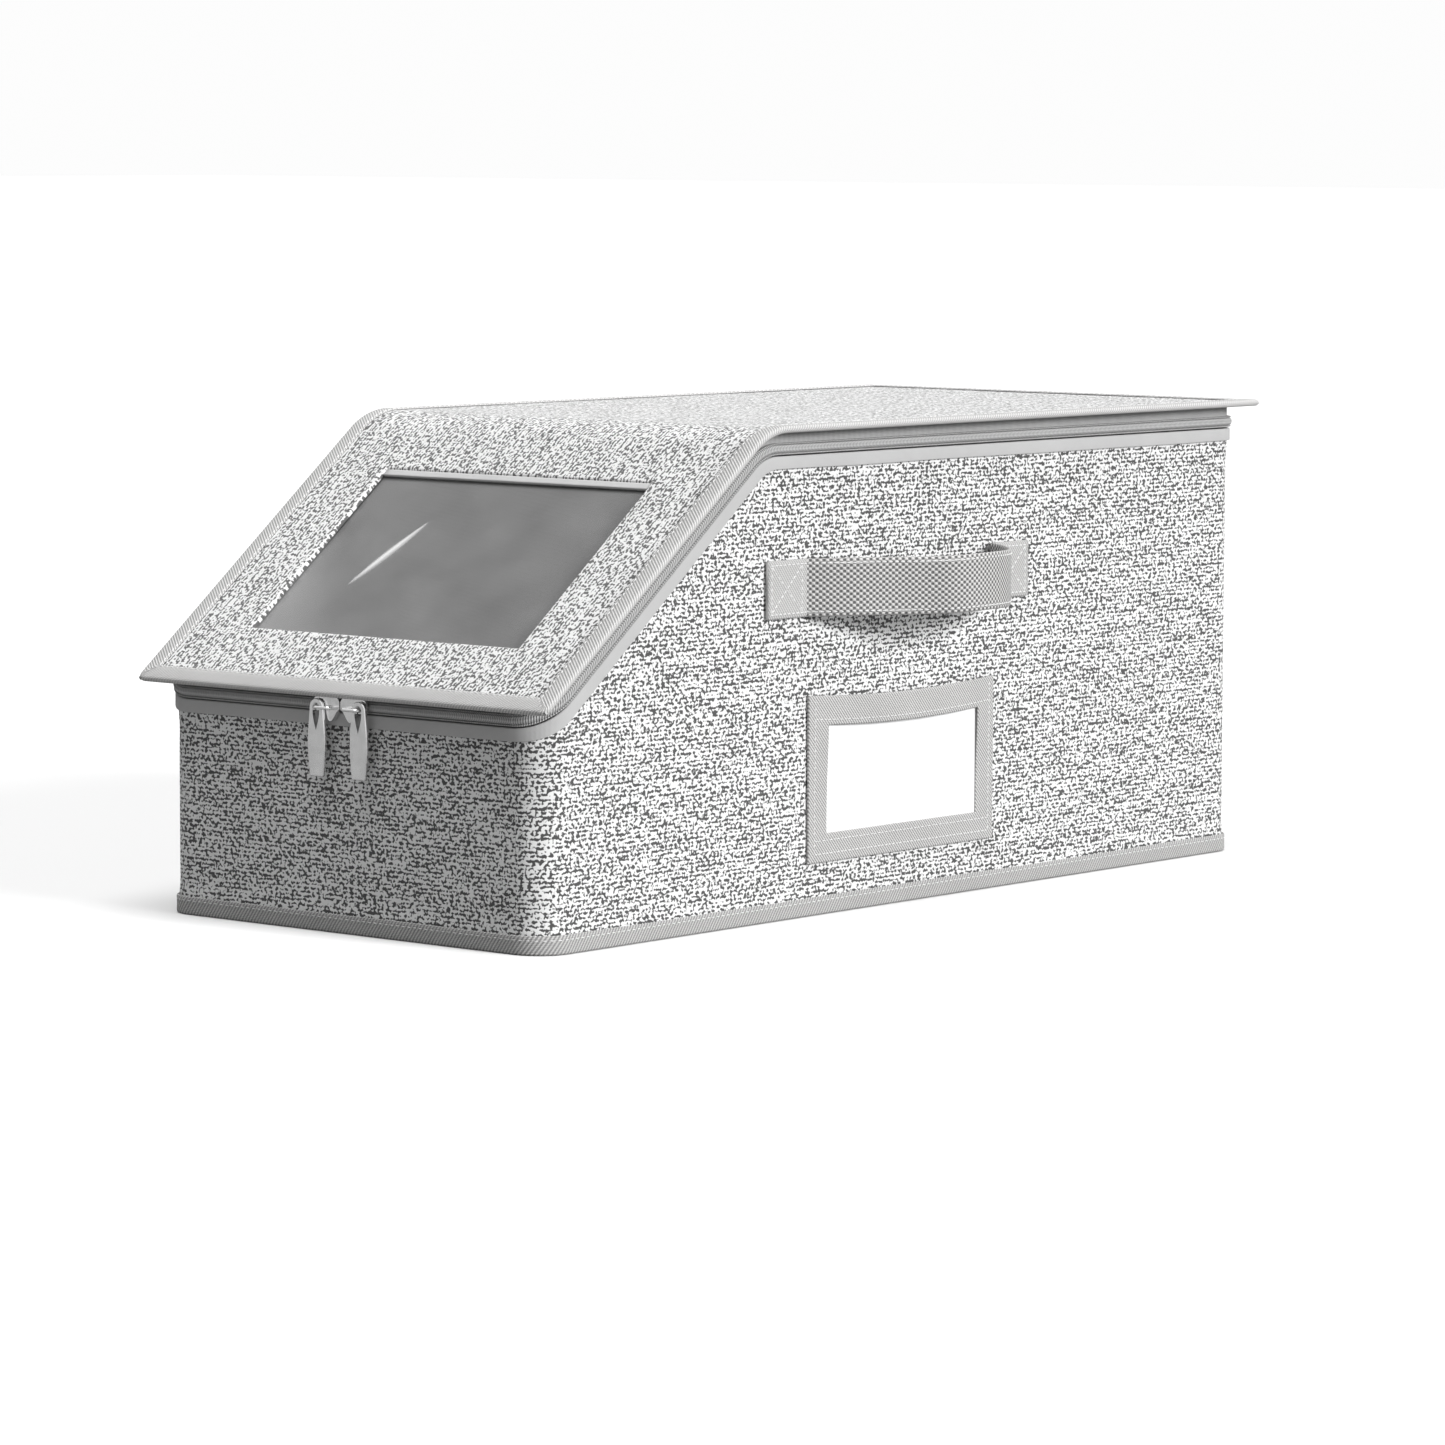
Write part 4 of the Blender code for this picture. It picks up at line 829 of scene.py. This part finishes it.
def build_strap(name, side, node_name):
    """The webbing of one handle, its section a flat bar with round edges."""
    y, height = strap_path()
    ty, th = strap_frame(y, height)
    along = np.concatenate([[0.0], np.cumsum(np.hypot(np.diff(y), np.diff(height)))])
    turn = np.radians(np.linspace(-90.0, 90.0, 5))
    half = STRAP_THICK / 2.0
    right_w, right_n = STRAP_HALF - half + half * np.cos(turn), half * np.sin(turn)
    across = np.linspace(-1.0, 1.0, 9)[1:-1] * (STRAP_HALF - half)
    w = np.concatenate([right_w, across[::-1], -right_w[::-1], across])
    n = np.concatenate([right_n, np.full(7, half), right_n[::-1], np.full(7, -half)])
    sway = 0.5 * ripple(along, along * 0.0, 81, 70.0) * np.sin(math.pi * along / along[-1])
    x = side * (WALL_SEAT + half + height[:, None] + ty[:, None] * n[None, :])
    yy = y[:, None] - th[:, None] * n[None, :]
    z = HANDLE_LEVEL + w[None, :] + sway[:, None]
    points = np.stack([x, yy, z], axis=-1)
    first, last = points[:1].mean(axis=1, keepdims=True), points[-1:].mean(axis=1, keepdims=True)
    points = np.concatenate([np.repeat(first, len(w), axis=1), points, np.repeat(last, len(w), axis=1)])
    rows = len(points)
    faces, corners_i, corners_k = tube_quads(rows, len(w), False, True)
    along = np.concatenate([[-1.0], along, [along[-1] + 1.0]])
    around = np.concatenate([w, [w[0]]])
    uv = np.stack([along[corners_i], around[corners_k]], axis=-1)
    piece = finish_mesh(name, points, faces, uv, strap_cloth, [node_name])
    piece.data.materials.append(strap_end)
    middle = (along[1:] + along[:-1]) / 2.0
    patch = (middle < HANDLE_END - 1.0) | (middle > along[-1] - HANDLE_END)
    piece.data.polygons.foreach_set("material_index", np.repeat(patch, len(w)).astype(np.int32))
    return piece


build_strap("strap_right", 1, "handle_right")
build_strap("strap_left", -1, "handle_left")

# %% [markdown]
# ## The label pocket
# A frame of twill is sewn to the wall on three sides, and its upper edge is open, so it bows
# out and sags a little in the middle. A bare card stands in it. The frame is a flat grid
# with an opening, and one function bends it.

# %% Label frame
LABEL_MIDDLE, LABEL_LEVEL, LABEL_HALF, LABEL_TALL, LABEL_BORDER = MIDDLE_Y - 10.7, 62.2, 69.0, 38.5, 13.3


def label_bow(u, v):
    """How open the mouth is at a point: a parabola across, rising towards the upper edge."""
    return (1.0 - (u / LABEL_HALF) ** 2) * smooth_step((v / LABEL_TALL + 0.3) / 0.9)


def label_place(u, v, out):
    """A point of the frame on the wall, bowed out and sagged by the mouth's opening."""
    bow = label_bow(u, v)
    return np.stack([HALF_WIDTH + out + 3.0 * bow, LABEL_MIDDLE + u, LABEL_LEVEL + v - 2.2 * bow], axis=-1)


def label_face(u, v):
    """The frame's outer face: a turned hem at both edges, and soft waves between them."""
    outer = np.minimum(LABEL_HALF - np.abs(u), LABEL_TALL - np.abs(v))
    inner = np.maximum(np.abs(u) - (LABEL_HALF - LABEL_BORDER), np.abs(v) - (LABEL_TALL - LABEL_BORDER))
    near = np.clip(np.minimum(outer, inner) / 0.9, 0.0, 1.0)
    return 1.15 + 0.4 * np.sqrt(1.0 - (1.0 - near) ** 2) + 0.08 * ripple(u, v, 91, 24.0)


def label_back(u, v):
    """The frame's back: on the wall at the outer border, off it over the card."""
    outer = np.minimum(LABEL_HALF - np.abs(u), LABEL_TALL - np.abs(v))
    return np.where(outer < 9.0, 0.3, 1.0)


lines_u = stops((-69.0, -68.1, 0.3), (-68.1, -56.6, 2.3), (-56.6, -55.7, 0.3), (-55.7, 55.7, 3.0),
                (55.7, 56.6, 0.3), (56.6, 68.1, 2.3), (68.1, 69.0, 0.3))
lines_v = stops((-38.5, -37.6, 0.3), (-37.6, -26.1, 2.3), (-26.1, -25.2, 0.3), (-25.2, 25.2, 3.0),
                (25.2, 26.1, 0.3), (26.1, 37.6, 2.3), (37.6, 38.5, 0.3))
mid_u, mid_v = (lines_u[1:] + lines_u[:-1]) / 2.0, (lines_v[1:] + lines_v[:-1]) / 2.0
card_cells = (np.abs(mid_u)[:, None] < 55.7) & (np.abs(mid_v) < 25.2)[None, :]
slab_piece("label_pocket", label_place, lines_u, lines_v, ~card_cells, label_face, label_back, label_twill,
           ["label_frame"])


# %% [markdown]
# ## Stitches
# A stitch is a short plump bead of thread that dips into the cloth at both ends. One small
# mesh is laid out for all the stitches of a row at once, with each stitch's middle, its
# direction and the side that faces out, so the rows follow every fold.

# %% Stitch rows
def stitch_piece(name, middles, ahead, outward, length, width, height):
    """Beads of thread. Along a stitch its width is the root of one minus the share squared,
    and its height a sine, on a section of five points, closed at both ends."""
    share = np.linspace(-1.0, 1.0, 6)
    girth = np.sqrt(np.clip(1.0 - share ** 2, 0.0, None)) + 1e-4
    turn = np.radians(np.linspace(0.0, 180.0, 5))
    side_shape = girth[:, None] * np.cos(turn)[None, :] * width / 2.0
    up_shape = girth[:, None] * np.sin(turn)[None, :] * height
    ahead = ahead / np.linalg.norm(ahead, axis=1)[:, None]
    outward = outward / np.linalg.norm(outward, axis=1)[:, None]
    side = np.cross(outward, ahead)
    reach = share * length / 2.0
    points = (middles[:, None, None, :] + ahead[:, None, None, :] * reach[None, :, None, None]
              + side[:, None, None, :] * side_shape[None, :, :, None]
              + outward[:, None, None, :] * (up_shape - 0.12)[None, :, :, None])
    quads, corners_i, corners_k = tube_quads(6, 5, False, True)
    count = len(middles)
    faces = quads.reshape(1, -1, 4) + 30 * np.arange(count)[:, None, None]
    uv = np.stack([share[corners_i] * length / 2.0, corners_k * width], axis=-1).reshape(1, -1, 4, 2)
    uv = np.repeat(uv, count, axis=0)
    piece = finish_mesh(name, points, faces.reshape(-1, 4), uv, thread, None)
    return piece


def row(start, end, pitch):
    """Middles and directions of stitches between two flat points, one pitch apart."""
    start, end = np.asarray(start, dtype=float), np.asarray(end, dtype=float)
    run = np.linalg.norm(end - start)
    count = max(1, round(run / pitch))
    share = (np.arange(count) + 0.5) / count
    return start + (end - start) * share[:, None], np.tile((end - start) / run, (count, 1))


def laid(place, rows_of, depth):
    """Rows of flat stitches put on a bent piece: ends are placed, so the stitch follows."""
    flat = np.concatenate([r[0] for r in rows_of])
    way = np.concatenate([r[1] for r in rows_of])
    here = place(flat[:, 0], flat[:, 1], depth)
    before = place(flat[:, 0] - way[:, 0] * 0.5, flat[:, 1] - way[:, 1] * 0.5, depth)
    after = place(flat[:, 0] + way[:, 0] * 0.5, flat[:, 1] + way[:, 1] * 0.5, depth)
    side_a = place(flat[:, 0] - way[:, 1] * 0.5, flat[:, 1] + way[:, 0] * 0.5, depth)
    side_b = place(flat[:, 0] + way[:, 1] * 0.5, flat[:, 1] - way[:, 0] * 0.5, depth)
    ahead = after - before
    return here, ahead, np.cross(ahead, side_a - side_b)


# %% Stitches of the lid
inset = 8.3
lid_rows = [row((-HALF_LID + inset, inset), (HALF_LID - inset, inset), 3.2),
            row((HALF_LID - inset, inset), (HALF_LID - inset, LID_RUN - inset), 3.2),
            row((HALF_LID - inset, LID_RUN - inset), (-HALF_LID + inset, LID_RUN - inset), 3.2),
            row((-HALF_LID + inset, LID_RUN - inset), (-HALF_LID + inset, inset), 3.2)]
here, ahead, outward = laid(lid_place, lid_rows, -0.02)
outward = outward * np.sign(outward[:, 2:3])
stitch_piece("lid_stitches", here, ahead, outward, 2.2, 0.55, 0.35)

# %% Stitches of the label pocket
edge_u, low_v = LABEL_HALF - 4.0, -LABEL_TALL + 4.0
label_rows = [row((-edge_u, LABEL_TALL - 2.0), (-edge_u, low_v), 2.7),
              row((edge_u, low_v), (edge_u, LABEL_TALL - 2.0), 2.7),
              row((-edge_u, low_v), (edge_u, low_v), 2.7),
              row((-edge_u, low_v + 6.0), (edge_u, low_v + 6.0), 2.7),
              row((-edge_u, 27.6), (edge_u, 27.6), 2.7)]
here, ahead, outward = laid(label_place, label_rows, 1.62)
stitch_piece("label_stitches", here, ahead, outward * np.sign(outward[:, 0:1]), 1.9, 0.5, 0.3)


# %% Stitches of the handles
def strap_point(side):
    """A place function for one strap: along its length, across it, and off its outer face."""
    y, height = strap_path()
    ty, th = strap_frame(y, height)
    length = np.concatenate([[0.0], np.cumsum(np.hypot(np.diff(y), np.diff(height)))])
    sway = 0.5 * ripple(length, length * 0.0, 81, 70.0) * np.sin(math.pi * length / length[-1])

    def place(u, v, depth):
        off = STRAP_THICK + depth
        base_y, base_h = np.interp(u, length, y), np.interp(u, length, height)
        out_y, out_h = np.interp(u, length, -th), np.interp(u, length, ty)
        return np.stack([side * (WALL_SEAT + base_h + out_h * off), base_y + out_y * off,
                         HANDLE_LEVEL + v + np.interp(u, length, sway)], axis=-1)
    return place, length[-1]


for name, side in (("right", 1), ("left", -1)):
    place, total = strap_point(side)
    rows_of = [row((1.5, v), (total - 1.5, v), 3.0) for v in (-STRAP_HALF + 2.2, STRAP_HALF - 2.2)]
    for low, high in ((2.5, 24.0), (total - 24.0, total - 2.5)):
        rows_of += [row((low, -10.5), (high, 10.5), 3.0), row((low, 10.5), (high, -10.5), 3.0),
                    row((low, -11.0), (low, 11.0), 3.0), row((high, -11.0), (high, 11.0), 3.0)]
    here, ahead, outward = laid(place, rows_of, 0.02)
    sign = np.sign(outward[:, 0:1]) * side
    stitch_piece("strap_stitches_" + name, here, ahead, outward * sign, 2.3, 0.6, 0.4)

# %% Stitches of the foot
share = np.arange(0.0, ALONG[-1], 3.4)
fx, fy = np.interp(share, ALONG[:-1], LOOP_X), np.interp(share, ALONG[:-1], LOOP_Y)
nx, ny = np.interp(share, ALONG[:-1], OUT_X), np.interp(share, ALONG[:-1], OUT_Y)
size = np.hypot(nx, ny)
nx, ny = nx / size, ny / size
here = np.stack([fx + nx * 1.33, fy + ny * 1.33, np.full_like(fx, 6.3)], axis=-1)
outward = np.stack([nx, ny, 0.0 * nx], axis=-1)
ahead = np.stack([-ny, nx, 0.0 * nx], axis=-1)
stitch_piece("foot_stitches", here, ahead, outward, 2.2, 0.5, 0.3)

# %% [markdown]
# ## Plain and hard pieces
# The floor board, the card, the two sliders and their pulls already have their true shape in
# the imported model, so they stay and only take a finish.

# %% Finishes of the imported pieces
for node, material in (("floor_panel", floor_cloth), ("label_card", card_paper), ("slider_left", nickel),
                       ("slider_right", nickel), ("pull_left", nickel), ("pull_right", nickel)):
    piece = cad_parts[node]
    piece.data.materials.clear()
    piece.data.materials.append(material)
    print(node, "wears", material.name)

# %% [markdown]
# ## Floor, light and camera
# A pale floor and a pale surround give soft light from all sides. A low soft sun lights the
# long wall, a high one the lid, and a faint one the front.

# %% Stage
floor_mesh = bpy.data.meshes.new("floor")
reach, level = 30.0, -0.0003
floor_corners = [(-reach, -reach, level), (reach, -reach, level), (reach, reach, level),
                 (-reach, reach, level)]
floor_mesh.from_pydata(floor_corners, [], [(0, 1, 2, 3)])
floor = bpy.data.objects.new("studio_floor", floor_mesh)
bpy.context.scene.collection.objects.link(floor)
floor_paint = bpy.data.materials.new("studio floor")
floor_paint.use_nodes = True
floor_tree = floor_paint.node_tree
seen = add_node(floor_tree, "ShaderNodeLightPath").outputs["Is Camera Ray"]
floor_tree.links.new(blend_colour(floor_tree, seen, grey(0.24), grey(0.88)),
                     floor_tree.nodes["Principled BSDF"].inputs["Base Color"])
floor_tree.nodes["Principled BSDF"].inputs["Roughness"].default_value = 0.8
floor_mesh.materials.append(floor_paint)

world = bpy.data.worlds.new("studio")
bpy.context.scene.world = world
world.use_nodes = True
lighting = add_node(world.node_tree, "ShaderNodeLightPath").outputs["Is Diffuse Ray"]
glow = calc(world.node_tree, "SUBTRACT", 0.98, calc(world.node_tree, "MULTIPLY", lighting, 0.82))
world.node_tree.nodes["Background"].inputs[0].default_value = (1.0, 1.0, 1.0, 1.0)
world.node_tree.links.new(glow, world.node_tree.nodes["Background"].inputs[1])
bpy.context.scene.view_settings.view_transform = "Standard"


# %% Lights
def soft_sun(name, towards, spread, strength):
    """A far light that shines from a direction, as soft as its spread in degrees."""
    lamp = bpy.data.lights.new(name, "SUN")
    lamp.energy, lamp.angle = strength, math.radians(spread)
    item = bpy.data.objects.new(name, lamp)
    away = np.array(towards) / np.linalg.norm(towards)
    across = np.cross((0.0, 1.0, 0.01), away)
    across = across / np.linalg.norm(across)
    basis = np.eye(4)
    basis[:3, 0], basis[:3, 1], basis[:3, 2] = across, np.cross(away, across), away
    basis[:3, 3] = away * 3.0
    item.matrix_world = Matrix(basis.tolist())
    bpy.context.scene.collection.objects.link(item)


soft_sun("key", (2.9, 0.3, 1.05), 22.0, 3.45)
soft_sun("top", (0.1, -0.25, 3.0), 45.0, 2.75)
soft_sun("front", (0.3, -2.6, 0.9), 30.0, 0.12)

# %% [markdown]
# ## Camera
# The camera stands where the photograph's straight edges say it stood: far off, a little
# above the lid, looking across the front corner. Its yaw, pitch and roll were solved from
# the box's edges.

# %% Camera
yaw, pitch, roll = math.radians(39.77), math.radians(5.73), math.radians(0.23)
forward = np.array([-math.sin(yaw) * math.cos(pitch), math.cos(yaw) * math.cos(pitch), -math.sin(pitch)])
right = np.array([math.cos(yaw), math.sin(yaw), 0.0])
up = np.cross(right, forward)
right, up = math.cos(roll) * right + math.sin(roll) * up, math.cos(roll) * up - math.sin(roll) * right
lens = bpy.data.cameras.new("camera")
lens.sensor_width, lens.lens = 36.0, 36.0 * 5896.39 / 1445.0
lens.clip_end = 50.0
camera = bpy.data.objects.new("camera", lens)
basis = np.eye(4)
basis[:3, 0], basis[:3, 1], basis[:3, 2] = right, up, -forward
basis[:3, 3] = (1.78681, -2.14660, 0.35515)
camera.matrix_world = Matrix(basis.tolist())
bpy.context.scene.collection.objects.link(camera)
bpy.context.scene.camera = camera
